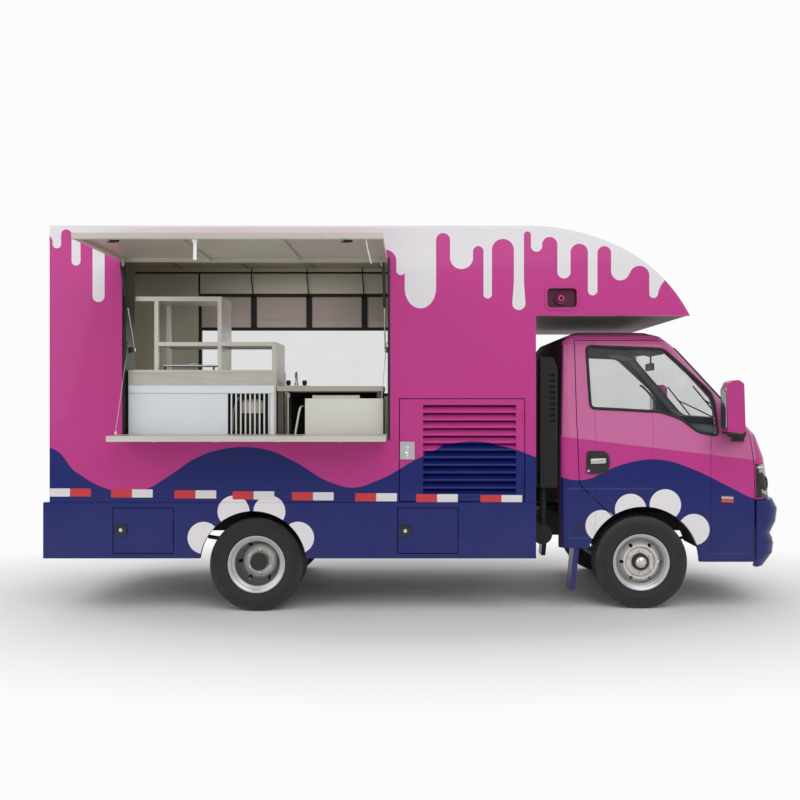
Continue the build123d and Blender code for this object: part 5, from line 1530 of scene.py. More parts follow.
@dataclass
class Cab:
    """The cab's glass, seals, lamps, handles, mirrors and inside."""

    window: tuple[Flat, ...] = (
        (1.222, 1.918), (1.244, 1.470), (1.740, 1.452), (1.882, 1.400), (2.010, 1.300), (2.148, 1.272),
        (2.126, 1.540), (2.108, 1.590), (1.776, 1.890),
    )
    screen: tuple[Flat, ...] = ((-0.690, 1.385), (0.690, 1.385), (0.628, 1.912), (-0.628, 1.912))
    seat_out: float = 0.390

    def build(self) -> None:
        """Dresses the cab and adds its trim."""
        for node in ("cab_shell", "door_left", "door_right"):
            slotted(node, (CAB_PAINT, GREY_PLASTIC, CAB_BACK_SHADE), self._inside)
        slotted("front_bumper", (CAB_PAINT, BLACK_PLASTIC), self._bumper_face)
        coated(FLOOR_PLATE, "cab_floor")
        coated(WINDOW_GLASS, "windscreen", "door_glass_left", "door_glass_right")
        slotted("headlamps", (HEAD_LENS, LAMP_DARK), self._lamp_face)
        coated(DASH_PLASTIC, "dashboard")
        for side in Side:
            slotted(f"mirror_{side.word}", (PINK_ENAMEL, BLACK_PLASTIC),
                    lambda centre, normal: 1 if abs(centre.y - MIDDLE) < 0.876 or centre.z < 1.30 else 0)
        self.skin = Skin("cab_shell", "door_left", "door_right", "front_bumper", "headlamps", "windscreen")
        for side in Side:
            self._window_seal(side)
            self._handle(side)
            self._door_trim(side)
            self._lamps(side)
            self._mirror(side)
            self._drip_rail(side)
            self._seat(side)
        self._front()
        self._screen_trim()
        self._inside_trim()

    @staticmethod
    def _inside(centre: Vector, normal: Vector) -> int:
        """Trim on faces that look into the cab, a dark matt painted shade on its back, paint elsewhere."""
        # Faces looking back at the cab's rear get the dark matt coat: painted shade between cab and box.
        if normal.x < -0.75 and centre.x < 1.12 and abs(centre.y - MIDDLE) < CAB_HALF - 0.025:
            return 2
        heart = Vector((1.75, MIDDLE, min(max(centre.z, 0.5), 1.75)))
        inward = normal.dot(heart - centre) > 0.15 * (heart - centre).length
        deep = abs(centre.y - MIDDLE) < CAB_HALF - 0.030
        return 1 if inward and deep else 0

    @staticmethod
    def _bumper_face(centre: Vector, normal: Vector) -> int:
        """Black inside the grille's mouth, paint elsewhere."""
        return 1 if centre.x < 2.648 and centre.z > 0.56 and abs(centre.y - MIDDLE) < 0.47 else 0

    @staticmethod
    def _lamp_face(centre: Vector, normal: Vector) -> int:
        """Clear on the lens's outside, dark on its back and its edges."""
        side = 1.0 if centre.y > MIDDLE else -1.0
        outward = normal.x > 0.25 or normal.y * side > 0.25
        return 0 if outward and abs(normal.z) < 0.6 else 1

    def _rounded(self, points: Sequence[Flat], corner: float) -> list[Flat]:
        """The outline with short arcs at its corners, split finely along its runs."""
        result: list[Flat] = []
        count = len(points)
        for index in range(count):
            before, here, after = (Vector(points[(index + step) % count]) for step in (-1, 0, 1))
            start = here + (before - here).normalized() * corner
            end = here + (after - here).normalized() * corner
            for step in range(5):
                share = step / 4
                result.append(tuple(start.lerp(here, share).lerp(here.lerp(end, share), share)))
            following = Vector(points[(index + 1) % count])
            stop = following + (here - following).normalized() * corner
            for step in range(1, 6):
                result.append(tuple(end.lerp(stop, step / 6)))
        return result

    def _window_seal(self, side: Side) -> None:
        """The black rubber seal round the door's window."""
        centre = Vector((1.70, 1.62))
        points = []
        for x, z in self._rounded(self.window, 0.035):
            flat = Vector((x, z))
            outward = (flat - centre).normalized() * 0.010
            points.append(self.skin.beside(side, x + outward.x, z + outward.y, 0.0005))
        seal = Piece.tube(f"window_seal_{side.word}", points, 0.0105, closed=True)
        seal.dress(SEAL_RUBBER, f"cab_door_{side.word}", "rubber")

    def _handle(self, side: Side) -> None:
        """The sunk door handle with its chrome pull and key."""
        y = side.y(CAB_HALF + 0.0005)
        out = side.value
        cup = Piece.outline(
            f"handle_cup_{side.word}",
            ((1.195, 0.990), (1.325, 0.985), (1.365, 1.030), (1.368, 1.110), (1.340, 1.152), (1.200, 1.156)), Axis.Y,
            y, out * 0.009, corner=0.022
        )
        cup.inset(towards(Axis.Y, out), 0.014, 0.001)
        cup.inset(lambda centre, normal: normal.y * out > 0.9 and abs(centre.x - 1.28) < 0.05, 0.010, -0.008)
        cup.soften(0.0015).dress(BLACK_PLASTIC, f"cab_door_{side.word}")
        pull = Piece.outline(
            f"handle_pull_{side.word}", ((1.226, 1.062), (1.340, 1.066), (1.340, 1.104), (1.226, 1.100)), Axis.Y,
            y + out * 0.006, out * 0.008, corner=0.008
        )
        pull.inset(towards(Axis.Y, out), 0.010, -0.003)
        pull.soften(0.0015).dress(CHROME, f"cab_door_{side.word}", "stainless")
        key = Piece.turned(
            f"door_key_{side.word}", ((0.0, 0.0), (0.0, 0.010), (0.009, 0.010), (0.0105, 0.008), (0.0105, 0.0)),
            (1.212, y, 1.010), Axis.Y, 20, out
        )
        key.smooth(30).dress(CHROME, f"cab_door_{side.word}", "stainless")

    def _door_trim(self, side: Side) -> None:
        """The side lamp, the vents behind the door and the arm rest inside it."""
        out = side.value
        y = side.y(CAB_HALF)
        for name, low, high, finish in (("upper", 0.803, 0.826, DOT_LENS), ("lower", 0.780, 0.803, AMBER)):
            lamp = Piece.outline(
                f"side_lamp_{name}_{side.word}",
                ((2.180, low + 0.003), (2.266, low), (2.266, high - 0.003), (2.180, high)), Axis.Y, y, out * 0.009,
                corner=0.004
            )
            lamp.soften(0.003, 3).dress(finish, f"cab_door_{side.word}", "tail_lamp")
        base = Piece.outline(
            f"side_lamp_base_{side.word}", ((2.174, 0.778), (2.272, 0.774), (2.272, 0.828), (2.174, 0.832)), Axis.Y,
            y, out * 0.003, corner=0.008
        )
        base.soften(0.001).dress(MAGENTA, f"cab_door_{side.word}")
        slot = Piece.outline(
            f"side_vents_{side.word}", ((1.098, 0.552), (1.110, 0.552), (1.146, 0.634), (1.134, 0.634)), Axis.Y, y,
            out * 0.0012, corner=0.004
        )
        slot.repeat([(0.044, 0, 0)]).dress(BLACK_PLASTIC)
        rest = Piece.outline(
            f"arm_rest_{side.word}", ((1.32, 1.045), (1.92, 1.060), (1.95, 1.090), (1.90, 1.118), (1.34, 1.108)),
            Axis.Y, side.y(0.765), -out * 0.062, corner=0.014
        )
        rest.inset(towards(Axis.Y, -out), 0.008, 0.006)
        rest.soften(0.006, 3).dress(DASH_PLASTIC, f"cab_door_{side.word}")

    def _lamps(self, side: Side) -> None:
        """The bowls, bulbs and white strip behind the headlamp glass."""
        for name, out, z, radius in (("low", 0.650, 0.905, 0.055), ("high", 0.560, 0.925, 0.052)):
            front = self.skin.ahead(side.value * out, z).x
            bowl = Piece.turned(
                f"lamp_bowl_{name}_{side.word}", ((0.0, 0.012), (-0.006, 0.014), (0.0, radius * 0.55),
                (0.030, radius), (0.034, radius), (0.034, radius + 0.003), (-0.008, radius * 0.5), (-0.008, 0.012)),
                (front - 0.046, side.y(out), z), Axis.X, 36
            )
            bowl.smooth(40).dress(DARK_CHROME, slot="lamp")
            bulb = Piece.turned(
                f"lamp_bulb_{name}_{side.word}",
                ((0.0, 0.0), (0.0, 0.012), (0.014, 0.012), (0.026, 0.009), (0.030, 0.0)),
                (front - 0.048, side.y(out), z), Axis.X, 20
            )
            bulb.smooth(50).dress(CLEAR_LENS, slot="lamp")
        points = [self.skin.beside(side, x, 1.034 - 0.02 * (x - 2.45), -0.010) for x in (2.452, 2.480, 2.505)]
        points += [self.skin.ahead(side.value * out, 1.026, -0.016) for out in (0.70, 0.62, 0.54, 0.49)]
        strip = Piece.tube(f"lamp_strip_{side.word}", points, 0.011, sides=4)
        strip.dress(WHITE_PLASTIC, slot="lamp")

    def _mirror(self, side: Side) -> None:
        """The mirror's glass on the back of its housing."""
        low, high = sorted((side.y(0.890), side.y(1.000)))
        glass = Piece.outline(
            f"mirror_glass_{side.word}", rect(low, 1.32, high, 1.61), Axis.X, 2.1495, 0.004, corner=0.020
        )
        glass.inset(towards(Axis.X, -1), 0.006, -0.001)
        glass.smooth().dress(MIRROR_GLASS, f"cab_door_{side.word}")

    def _drip_rail(self, side: Side) -> None:
        """The rolled gutter over the door."""
        points = [
            self.skin.beside(side, x, z, 0.002) for x, z in ((1.045, 1.950), (1.072, 1.972), (1.11, 1.982),
            (1.30, 1.986), (1.50, 1.986), (1.68, 1.980), (1.76, 1.970))
        ]
        rail = Piece.tube(f"drip_rail_{side.word}", points, 0.009, smooth=True, sides=4)
        rail.dress(PINK_ENAMEL, slot="body_paint")

    def _front(self) -> None:
        """The blank plate, the grille's mesh, fog lamps and the bonnet's line."""
        plate = Piece.outline(
            "front_plate", rect(MIDDLE - PLATE_HALF, 0.40, MIDDLE + PLATE_HALF, 0.54), Axis.X, 2.678, 0.006,
            corner=0.008
        )
        plate.inset(towards(Axis.X, 1), 0.008, -0.001).dress(PLATE_BLANK)
        mesh = Piece.outline(
            "grille_mesh", rect(MIDDLE - 0.42, 0.566, MIDDLE - 0.412, 0.654), Axis.X, 2.600, 0.010, corner=0.002
        )
        mesh.repeat([(0, 0.026 * index, 0) for index in range(1, 33)]).dress(DARK_GRILLE)
        for side in Side:
            spot = self.skin.ahead(side.value * 0.56, 0.455)
            ring = Piece.turned(
                f"fog_ring_{side.word}",
                ((-0.006, 0.040), (0.004, 0.042), (0.006, 0.050), (0.003, 0.058), (-0.010, 0.060)), spot, Axis.X, 36
            )
            ring.smooth(40).dress(BLACK_PLASTIC)
            lens = Piece.turned(
                f"fog_lens_{side.word}",
                ((-0.004, 0.0), (-0.004, 0.041), (0.001, 0.041), (0.006, 0.028), (0.008, 0.0)), spot, Axis.X, 36
            )
            lens.smooth(40).dress(CLEAR_LENS, slot="lamp")
        outs = (-0.62, -0.5, -0.3, -0.1, 0.1, 0.3, 0.5, 0.62)
        line = [self.skin.ahead(out, 1.235 - 0.03 * abs(out), 0.0002) for out in outs]
        seam = Piece.tube("bonnet_line", line, 0.0022, smooth=True)
        seam.dress(SEAL_RUBBER, slot="rubber")

    def _screen_trim(self) -> None:
        """The windscreen's seal, the black cowl under it and two wipers."""
        points = []
        for out, z in self._rounded(self.screen, 0.060):
            away = Vector((out, (z - 1.65) * 1.2)).normalized() * 0.008
            points.append(self.skin.ahead(out + away.x, z + away.y, 0.001))
        seal = Piece.tube("windscreen_seal", points, 0.0095, closed=True)
        seal.dress(SEAL_RUBBER, slot="rubber")
        spots = [self.skin.ahead(-0.70 + 0.10 * index, 1.356, -0.002) for index in range(15)]
        cowl = Piece.tube("cowl", spots, 0.017, smooth=True, sides=4)
        cowl.dress(BLACK_PLASTIC)
        for name, foot, tip in (("right", (-0.60, 1.365), (-0.12, 1.520)), ("left", (0.02, 1.365), (0.50, 1.520))):
            start, end = Vector(foot), Vector(tip)
            arm = [self.skin.ahead(*start.lerp(end, share / 5), 0.016) for share in range(6)]
            along = (end - start).normalized()
            across = Vector((-along.y, along.x))
            spots = [end + across * 0.26 * (share / 6 - 0.5) - along * 0.02 for share in range(7)]
            blade = [self.skin.ahead(*spot, 0.008) for spot in spots]
            pivot = Piece.turned(
                f"wiper_pivot_{name}", ((-0.01, 0.0), (-0.01, 0.016), (0.016, 0.014), (0.022, 0.0)), arm[0], Axis.X,
                20
            )
            rod = Piece.tube(f"wiper_arm_{name}", arm, 0.0055)
            edge = Piece.tube(f"wiper_blade_{name}", blade, 0.006)
            rod.join(edge, pivot).smooth(40).dress(BLACK_PLASTIC)

    def _inside_trim(self) -> None:
        """Inner mirror, sun visors, gear lever, grab handle, the dials' hood and the vents."""
        back = Piece.outline(
            "inner_mirror", rect(MIDDLE - 0.110, 1.765, MIDDLE + 0.110, 1.825), Axis.X, 1.870, 0.018, corner=0.014
        )
        back.inset(towards(Axis.X, -1), 0.005, -0.002)
        stem = Piece.tube(
            "inner_mirror_stem", ((1.880, MIDDLE, 1.800), (1.895, MIDDLE, 1.850), (1.880, MIDDLE, 1.905)), 0.007,
            smooth=True
        )
        back.soften(0.004).join(stem).smooth(40).dress(BLACK_PLASTIC)
        for side in Side:
            y = side.y(0.400)
            visor = Piece.outline(
                f"sun_visor_{side.word}", ((1.660, 1.930), (1.665, 1.915), (1.820, 1.868), (1.826, 1.880)), Axis.Y,
                y - 0.20, 0.40, corner=0.005
            )
            visor.soften(0.004, 3).dress(GREY_PLASTIC)
        lever = Piece.tube("gear_lever", ((1.640, MIDDLE + 0.020, 0.83), (1.650, MIDDLE + 0.020, 1.00),
                                         (1.625, MIDDLE + 0.020, 1.18)), 0.007, smooth=True)
        knob = Piece.turned(
            "gear_knob", ((0.0, 0.0), (0.0, 0.010), (0.015, 0.020), (0.040, 0.023), (0.055, 0.014), (0.058, 0.0)),
            (1.625, MIDDLE + 0.020, 1.165), Axis.Z, 24
        )
        boot = Piece.turned(
            "gear_boot", ((0.0, 0.0), (0.0, 0.070), (0.020, 0.060), (0.028, 0.048), (0.040, 0.046), (0.050, 0.030),
            (0.100, 0.014), (0.100, 0.0)), (1.645, MIDDLE + 0.020, 0.83), Axis.Z, 28
        )
        lever.join(knob, boot).smooth(40).dress(BLACK_PLASTIC)
        grab = Piece.tube(
            "grab_handle", ((1.985, MIDDLE + 0.700, 1.655), (1.990, MIDDLE + 0.655, 1.650),
            (2.055, MIDDLE + 0.650, 1.580), (2.105, MIDDLE + 0.655, 1.515), (2.110, MIDDLE + 0.700, 1.510)), 0.010,
            smooth=True, sides=4
        )
        grab.dress(GREY_PLASTIC)
        hood = Piece.outline(
            "dial_hood",
            ((2.085, 1.270), (2.105, 1.325), (2.150, 1.352), (2.230, 1.352), (2.300, 1.312), (2.300, 1.290)), Axis.Y,
            MIDDLE + 0.230, 0.320, corner=0.010
        )
        hood.inset(lambda centre, normal: abs(normal.y) > 0.9, 0.010, 0.006)
        hood.soften(0.006, 3).dress(DASH_PLASTIC)
        vents = Piece.outline(
            "dash_vents", rect(MIDDLE - 0.30, 1.235, MIDDLE - 0.16, 1.241), Axis.X, 2.074, 0.03, corner=0.001
        )
        vents.repeat([(0.001 * index, 0, 0.011 * index) for index in range(1, 5)]).dress(LINER_PLASTIC)

    @staticmethod
    def _channels(start: Flat, end: Flat, count: int, rise: float) -> list[Flat]:
        """A line of sewn channels: shallow bulges with a seam between each two."""
        first, last = Vector(start), Vector(end)
        out = Vector((last.y - first.y, first.x - last.x)).normalized()
        points = []
        for channel in range(count):
            for step in range(6):
                share = (channel + step / 6) / count
                points.append(tuple(first.lerp(last, share) + out * rise * sin(pi * step / 6) ** 0.6))
        points.append(end)
        return points

    def _cushion(self, name: str, profile: Sequence[Flat], side: Side, half: float) -> Piece:
        """One upholstered block with crowned ends, made from its side outline."""
        piece = Piece.outline(name, profile, Axis.Y, side.y(self.seat_out) - half, 2 * half)
        for border, swell in ((0.010, 0.010), (0.016, 0.006)):
            piece.inset(lambda centre, normal: abs(normal.y) > 0.9, border, swell)
        piece.modify("SUBSURF", levels=2)
        return piece.smooth(70)

    def _seat(self, side: Side) -> None:
        """A padded seat with channels in its cushion and back, on a plastic base."""
        seat = [(1.205, 0.968), (1.700, 0.985), *self._channels((1.722, 1.010), (1.735, 1.062), 1, 0.010),
                *self._channels((1.715, 1.082), (1.215, 1.050), 5, 0.012)]
        back = [
            (1.100, 0.985), *self._channels((1.200, 1.040), (1.158, 1.650), 6, 0.012), (1.120, 1.672), (1.078, 1.650)
        ]
        rest = [
            (1.074, 1.700), *self._channels((1.150, 1.690), (1.142, 1.822), 1, 0.012), (1.110, 1.838), (1.078, 1.815)
        ]
        cushion = self._cushion(f"seat_cushion_{side.word}", seat, side, 0.236)
        cushion.join(self._cushion(f"seat_back_{side.word}", back, side, 0.228),
                     self._cushion(f"seat_rest_{side.word}", rest, side, 0.110))
        cushion.smooth(70).dress(SEAT_CLOTH, slot="seat")
        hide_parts("seats")
        y = side.y(self.seat_out)
        base = Piece.outline(
            f"seat_base_{side.word}",
            ((1.175, 0.831), (1.690, 0.831), (1.700, 0.950), (1.690, 0.972), (1.190, 0.960), (1.165, 0.900)), Axis.Y,
            y - 0.225, 0.450, corner=0.012
        )
        base.inset(lambda centre, normal: abs(normal.y) > 0.9, 0.020, -0.006)
        posts = Piece.tube(f"seat_posts_{side.word}", ((1.112, y - 0.055, 1.60), (1.112, y - 0.055, 1.76)), 0.006)
        posts.repeat([(0, 0.110, 0)])
        base.soften(0.006, 3).join(posts).smooth(40).dress(DASH_PLASTIC)


@dataclass
class Kitchen:
    """The display counter, worktop, ceiling and appliances inside the box."""

    front: float = MIDDLE - 0.846
    back: float = MIDDLE - 0.348
    counter_top: float = 1.743
    worktop_top: float = 1.627
    ceiling: float = 2.736
    far_wall: float = MIDDLE + 0.890

    def build(self) -> None:
        """Dresses the furniture and adds its fittings."""
        slotted("display_counter", (PALE_STEEL, LINER_PLASTIC, WHITE_PLASTIC), self._counter_face)
        slotted("worktop", (WORKTOP_STEEL, CABINET_STEEL, DARK_STEEL), self._worktop_face)
        self._counter_front()
        self._compressor()
        self._pans()
        self._tap()
        self._under_worktop()
        self._ceiling()
        self._far_wall()

    def _counter_face(self, centre: Vector, normal: Vector) -> int:
        """Dark inside the machine's recess, pale on its bars, steel elsewhere."""
        inset = centre.y - self.front
        if -1.4025 < centre.x < -1.0975 and 1.274 < centre.z < 1.573 and inset > 0.001:
            return 2 if inset < 0.0145 else 1
        return 0

    @staticmethod
    def _worktop_face(centre: Vector, normal: Vector) -> int:
        """Dull steel on the slab, pale on the cabinet, dark on the legs and shelf."""
        if centre.z > 1.5895:
            return 0
        return 1 if centre.x > -0.8475 and centre.z < 1.538 else 2

    def _front_panel(
            self, name: str, low: Flat, high: Flat, proud: float, finish: Finish, border: float = 0.006
    ) -> Piece:
        """A folded panel on the counter's front.

        Args:
            name: The piece's name.
            low: X and Z of its lower rear corner.
            high: X and Z of its upper front corner.
            proud: How far it stands off the counter.
            finish: Its finish.
            border: The width of its folded edge.

        Returns:
            The panel.
        """
        panel = Piece.outline(
            name, (low, (high[0], low[1]), high, (low[0], high[1])), Axis.Y, self.front, -proud, corner=0.004, steps=2
        )
        panel.inset(towards(Axis.Y, -1), border, -proud * 0.35)
        return panel.soften(0.0008).dress(finish, slot="stainless")

    def _counter_front(self) -> None:
        """The beige band, white rail, ribbed white panel and post on the counter's front."""
        self._front_panel("counter_band", (-2.093, 1.637), (-1.069, 1.724), 0.005, BEIGE_PANEL)
        self._front_panel("counter_rail", (-2.120, 1.577), (-1.069, 1.632), 0.008, WHITE_PANEL, 0.010)
        self._front_panel("counter_post", (-1.0975, 1.270), (-1.069, 1.571), 0.007, WHITE_PANEL, 0.005)
        self._front_panel("counter_panel", (-2.120, 1.272), (-1.405, 1.570), 0.004, WHITE_PANEL)
        rib = Piece.outline(
            "counter_ribs", ((self.front - 0.0026, 1.284), (self.front - 0.0036, 1.287), (self.front - 0.0036, 1.290),
            (self.front - 0.0026, 1.293)), Axis.X, -2.110, 0.695
        )
        rib.repeat([(0, 0, 0.0148 * index) for index in range(1, 19)]).dress(WHITE_PANEL, slot="stainless")
        cap = Piece.outline(
            "counter_cap", ((self.front - 0.006, 1.7440), (self.front - 0.006, 1.7300), (self.front - 0.004, 1.7300),
            (self.front, 1.7425)), Axis.X, -2.093, 1.036
        )
        cap.dress(PALE_STEEL, slot="stainless")

    def _compressor(self) -> None:
        """The round compressor behind the machine's bars, with its pale band and a pipe."""
        centre = (-1.236, self.front + 0.120, 0.0)
        shell = Piece.turned(
            "compressor_shell", ((1.276, 0.0), (1.276, 0.088), (1.290, 0.098), (1.430, 0.100), (1.430, 0.0)), centre,
            Axis.Z, 48
        )
        shell.smooth(40).dress(BLACK_PLASTIC)
        band = Piece.turned(
            "compressor_band", ((1.4305, 0.0), (1.4305, 0.101), (1.452, 0.1025), (1.500, 0.1025), (1.520, 0.094),
            (1.532, 0.070), (1.536, 0.0)), centre, Axis.Z, 48
        )
        band.smooth(50).dress(BEIGE_PANEL)
        pipe = Piece.tube(
            "compressor_pipe", ((-1.375, self.front + 0.030, 1.30), (-1.372, self.front + 0.028, 1.40),
            (-1.360, self.front + 0.026, 1.49), (-1.330, self.front + 0.030, 1.545)), 0.006, smooth=True
        )
        pipe.dress(GREY_STEEL, slot="stainless")

    def _pans(self) -> None:
        """Pans in the counter's two wells, and the lid of the rear ones on its rack."""
        y0, y1 = MIDDLE - 0.797, MIDDLE - 0.548
        for name, low, high, count in (("rear", -1.882, -1.503, 3), ("front", -1.427, -1.113, 2)):
            wide = (high - low) / count
            pan = Piece.box(f"pans_{name}", (low + 0.003, y0, self.counter_top - 0.130),
                            (low + wide - 0.003, y1, self.counter_top - 0.006))
            pan.inset(towards(Axis.Z, 1), 0.010, 0.0)
            pan.push(lambda centre, normal: normal.z > 0.9 and abs(centre.y - (y0 + y1) / 2) < 0.02, (0, 0, -0.100))
            pan.soften(0.004, 3)
            pan.repeat([(wide * index, 0, 0) for index in range(1, count)])
            pan.smooth().dress(PALE_STEEL, slot="stainless")
        lid = Piece.box("pan_lid", (-1.885, MIDDLE - 0.806, 1.7745), (-1.500, MIDDLE - 0.540, 1.7790))
        lid.inset(towards(Axis.Z, 1), 0.012, 0.004)
        lid.inset(lambda centre, normal: normal.z > 0.9 and abs(centre.y - MIDDLE + 0.673) < 0.03, 0.030, -0.005)
        grip = Piece.tube(
            "pan_lid_grip", ((-1.73, MIDDLE - 0.673, 1.777), (-1.725, MIDDLE - 0.673, 1.797),
            (-1.66, MIDDLE - 0.673, 1.797), (-1.655, MIDDLE - 0.673, 1.777)), 0.004, smooth=True
        )
        lid.soften(0.001).join(grip).smooth().dress(WHITE_PANEL, slot="stainless")
        feet = Piece.turned(
            "pan_lid_feet", ((0.0, 0.0), (0.0, 0.007), (0.028, 0.007), (0.0315, 0.005), (0.0315, 0.0)),
            (-1.870, MIDDLE - 0.803, self.counter_top), Axis.Z, 12
        )
        feet.repeat([(0.355, 0, 0)]).smooth().dress(BLACK_PLASTIC, slot="rubber")

    def _tap(self) -> None:
        """The small basin's rim, a swan-neck tap and its two levers on the worktop."""
        top = self.worktop_top
        x, y = -0.955, MIDDLE - 0.470
        rim = Piece.box("basin_rim", (x - 0.075, y - 0.20, top), (x + 0.125, y - 0.040, top + 0.006))
        rim.inset(towards(Axis.Z, 1), 0.012, 0.002)
        rim.inset(lambda centre, normal: normal.z > 0.9 and abs(centre.y - y + 0.12) < 0.03, 0.006, -0.0065)
        rim.soften(0.0015).dress(POLISHED, slot="stainless")
        neck = Piece.tube(
            "tap_neck", ((x, y, top), (x, y, top + 0.085), (x + 0.004, y - 0.030, top + 0.112),
            (x + 0.006, y - 0.075, top + 0.098), (x + 0.006, y - 0.085, top + 0.070)), 0.009, smooth=True
        )
        foot = Piece.turned(
            "tap_foot", ((0.0, 0.0), (0.0, 0.026), (0.006, 0.025), (0.010, 0.016), (0.032, 0.014), (0.036, 0.0)),
            (x, y, top), Axis.Z, 28
        )
        neck.join(foot).smooth(45).dress(CHROME, slot="stainless")
        lever = Piece.turned("tap_levers", ((0.0, 0.0), (0.0, 0.016), (0.020, 0.015), (0.026, 0.019), (0.046, 0.017),
                                           (0.050, 0.010), (0.050, 0.0)), (x - 0.062, y, top), Axis.Z, 8)
        lever.repeat([(0.124, 0, 0)]).smooth(30).dress(BLACK_PLASTIC)

    def _under_worktop(self) -> None:
        """The back panel, rail and pipes in the gap between the counter and the cabinet."""
        back = Piece.outline(
            "worktop_back", rect(-1.040, 1.002, -0.290, 1.589), Axis.Y, self.back - 0.026, 0.010, corner=0.004
        )
        back.inset(towards(Axis.Y, -1), 0.012, -0.002)
        back.soften(0.001).dress(LINER_PLASTIC)
        rail = Piece.outline(
            "cabinet_rail", ((self.front + 0.022, 1.538), (self.front + 0.034, 1.538), (self.front + 0.034, 1.559),
            (self.front + 0.030, 1.562), (self.front + 0.022, 1.559)), Axis.X, -0.794, 0.344
        )
        rail.dress(PALE_STEEL, slot="stainless")
        x, y = -0.978, self.front + 0.070
        pipe = Piece.tube(
            "waste_pipe", ((x, y, 1.585), (x, y, 1.30), (x, y + 0.010, 1.05), (x + 0.005, y + 0.080, 1.010)), 0.007,
            sides=5
        )
        collar = Piece.turned(
            "waste_collar", ((0.0, 0.0), (0.0, 0.016), (0.030, 0.017), (0.034, 0.010), (0.034, 0.0)), (x, y, 1.545),
            Axis.Z, 20
        )
        pipe.join(collar).smooth(45).dress(PALE_STEEL, slot="stainless")
        hose = Piece.tube(
            "supply_hose", ((-0.880, self.front + 0.300, 1.480), (-0.886, self.front + 0.110, 1.482),
            (-0.893, self.front + 0.080, 1.462), (-0.912, self.front + 0.080, 1.36),
            (-0.930, self.front + 0.082, 1.263), (-0.940, self.front + 0.090, 1.05)), 0.008, smooth=True, sides=4
        )
        hose.dress(WHITE_PLASTIC)

    def _ceiling(self) -> None:
        """Two long lamp strips and the ceiling's cross seams."""
        for name, out in (("right", -0.34), ("left", 0.42)):
            y = MIDDLE + out
            lamp = Piece.outline(
                f"ceiling_lamp_{name}", ((y - 0.050, self.ceiling), (y + 0.050, self.ceiling),
                (y + 0.042, self.ceiling - 0.020), (y - 0.042, self.ceiling - 0.020)), Axis.X, -2.05, 1.65
            )
            lamp.soften(0.004, 3).dress(LED_STRIP, slot="lamp")
        seam = Piece.outline("ceiling_seams", rect(MIDDLE - 0.86, self.ceiling, MIDDLE + 0.86, self.ceiling - 0.004),
                             Axis.X, -2.20, 0.036)
        seam.repeat([(0.61 * index, 0, 0) for index in range(1, 5)]).dress(GREY_STEEL, slot="stainless")

    def _far_wall(self) -> None:
        """The dark trim lines of the far wall, the window's curved stays and two wall sockets."""
        y = self.far_wall
        line = Piece.outline(
            "wall_trim", ((y, 2.705), (y - 0.004, 2.703), (y - 0.004, 2.690), (y, 2.688)), Axis.X, -2.615, 2.335
        )
        post = Piece.outline("wall_trim_post", rect(-2.036, 2.507, -2.020, 2.690), Axis.Y, y, -0.004, corner=0.002)
        line.join(post).dress(LINER_PLASTIC)
        for index, x in enumerate((-1.526, -1.017, -0.509)):
            stay = Piece.tube(
                f"window_stay_{index}", ((x - 0.012, y - 0.035, 2.733), (x - 0.018, y - 0.050, 2.66),
                (x - 0.004, y - 0.040, 2.56), (x - 0.006, y - 0.012, 2.47)), 0.005, smooth=True
            )
            foot = Piece.outline(
                f"window_stay_foot_{index}", rect(x - 0.016, 2.455, x + 0.006, 2.490), Axis.Y, y, -0.014, corner=0.004
            )
            stay.join(foot.soften(0.001)).smooth(40).dress(LINER_PLASTIC)
        socket = Piece.outline("wall_sockets", rect(0.16, 1.46, 0.25, 1.55), Axis.Y, y, -0.009, corner=0.008)
        socket.inset(towards(Axis.Y, -1), 0.008, -0.003)
        socket.soften(0.001).repeat([(0.11, 0, 0)]).dress(WHITE_PLASTIC)


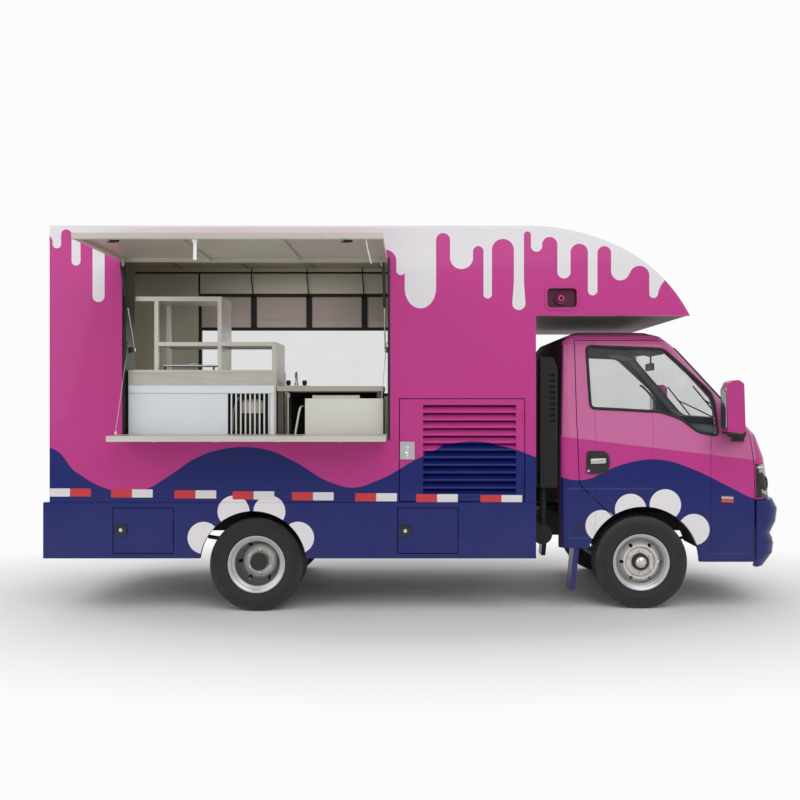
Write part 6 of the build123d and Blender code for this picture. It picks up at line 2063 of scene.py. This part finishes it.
@dataclass
class Studio:
    """The floor, light and camera."""

    lens: float = 39.74
    camera: Point = (-0.070, -6.804, 1.526)
    shift: float = -0.015
    white: float = 0.97
    shade: float = 0.62

    def build(self) -> None:
        """Makes the stage."""
        self._floor()
        self._world()
        self._lamp("key", (2.5, -6.0, 6.5), (0.0, 0.3, 1.2), 7.0, 230.0)
        self._lamp("fill", (-6.0, -4.0, 4.0), (0.0, 0.3, 1.2), 6.0, 110.0)
        self._lamp("rim", (0.0, 7.0, 5.0), (0.0, 0.3, 1.2), 7.0, 150.0)
        self._lamp("inside", (-1.2, 0.35, 2.70), (-1.2, 0.35, 0.0), 1.1, 11.0, reflected=False)
        bpy.ops.object.camera_add(location=self.camera, rotation=(pi / 2, 0, 0))
        camera = bpy.context.object
        camera.data.lens = self.lens
        camera.data.sensor_width = 36.0
        camera.data.shift_x = self.shift
        camera.data.clip_end = 600.0
        bpy.context.scene.camera = camera
        bpy.context.scene.view_settings.view_transform = "Standard"

    def _lamp(
            self, name: str, place: Point, target: Point, size: float, power: float, reflected: bool = True
    ) -> None:
        """One soft lamp that the camera doesn't see.

        Args:
            name: The lamp's name.
            place: Where it is.
            target: The point it looks at.
            size: Its width in metres.
            power: Its power in watts.
            reflected: Whether reflections show it.
        """
        bpy.ops.object.light_add(type="AREA", location=place)
        lamp = bpy.context.object
        lamp.name = f"studio_{name}"
        lamp.data.size = size
        lamp.data.energy = power
        lamp.rotation_euler = (Vector(target) - Vector(place)).to_track_quat("-Z", "Y").to_euler()
        lamp.visible_camera = False
        lamp.visible_glossy = reflected

    def _floor(self) -> None:
        """A wide pale floor that melts into the white surround away from the truck."""
        Piece.clear()
        bpy.ops.mesh.primitive_plane_add(size=400.0)
        floor = Piece("studio_floor")
        graph = Graph(bpy.data.materials.new("studio floor"))
        x, y = graph.place(Axis.X) / 1.95, graph.place(Axis.Y) - 0.2
        away = (x * x + y * y).root().between(1.25, 2.7)
        seen = graph.node("ShaderNodeLightPath", None, None, "Is Camera Ray")
        cloud = graph.noise(0.4, 2.0)
        ground = graph.shader(
            Base_Color=graph.mix(cloud * 0.2, (0.84, 0.84, 0.84), (0.88, 0.88, 0.88)), Roughness=0.9
        )
        glow = graph.node("ShaderNodeEmission", None, {"Color": (1.0, 1.0, 1.0), "Strength": self.white})
        graph.finish(graph.node("ShaderNodeMixShader", None, {0: away * seen, 1: ground, 2: glow}))
        floor.obj.data.materials.append(graph.made)

    def _world(self) -> None:
        """A white surround for the camera, and softer light on the object."""
        world = bpy.data.worlds.new("studio world")
        bpy.context.scene.world = world
        graph = Graph(world)
        seen = graph.node("ShaderNodeLightPath", None, None, "Is Camera Ray")
        through = graph.node("ShaderNodeLightPath", None, None, "Is Transmission Ray")
        strength = seen.most(through) * (self.white - self.shade) + self.shade
        light = graph.node("ShaderNodeBackground", None, {"Color": (1.0, 1.0, 1.0), "Strength": strength})
        graph.finish(light, "ShaderNodeOutputWorld")


def main() -> None:
    """Builds every sub-assembly."""
    logging.basicConfig(level=logging.INFO, format="%(message)s")
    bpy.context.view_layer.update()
    Studio().build()
    RunningGear().build()
    BoxBody().build()
    ServiceHatch().build()
    Kitchen().build()
    Cab().build()


if __name__ == "__main__":
    main()
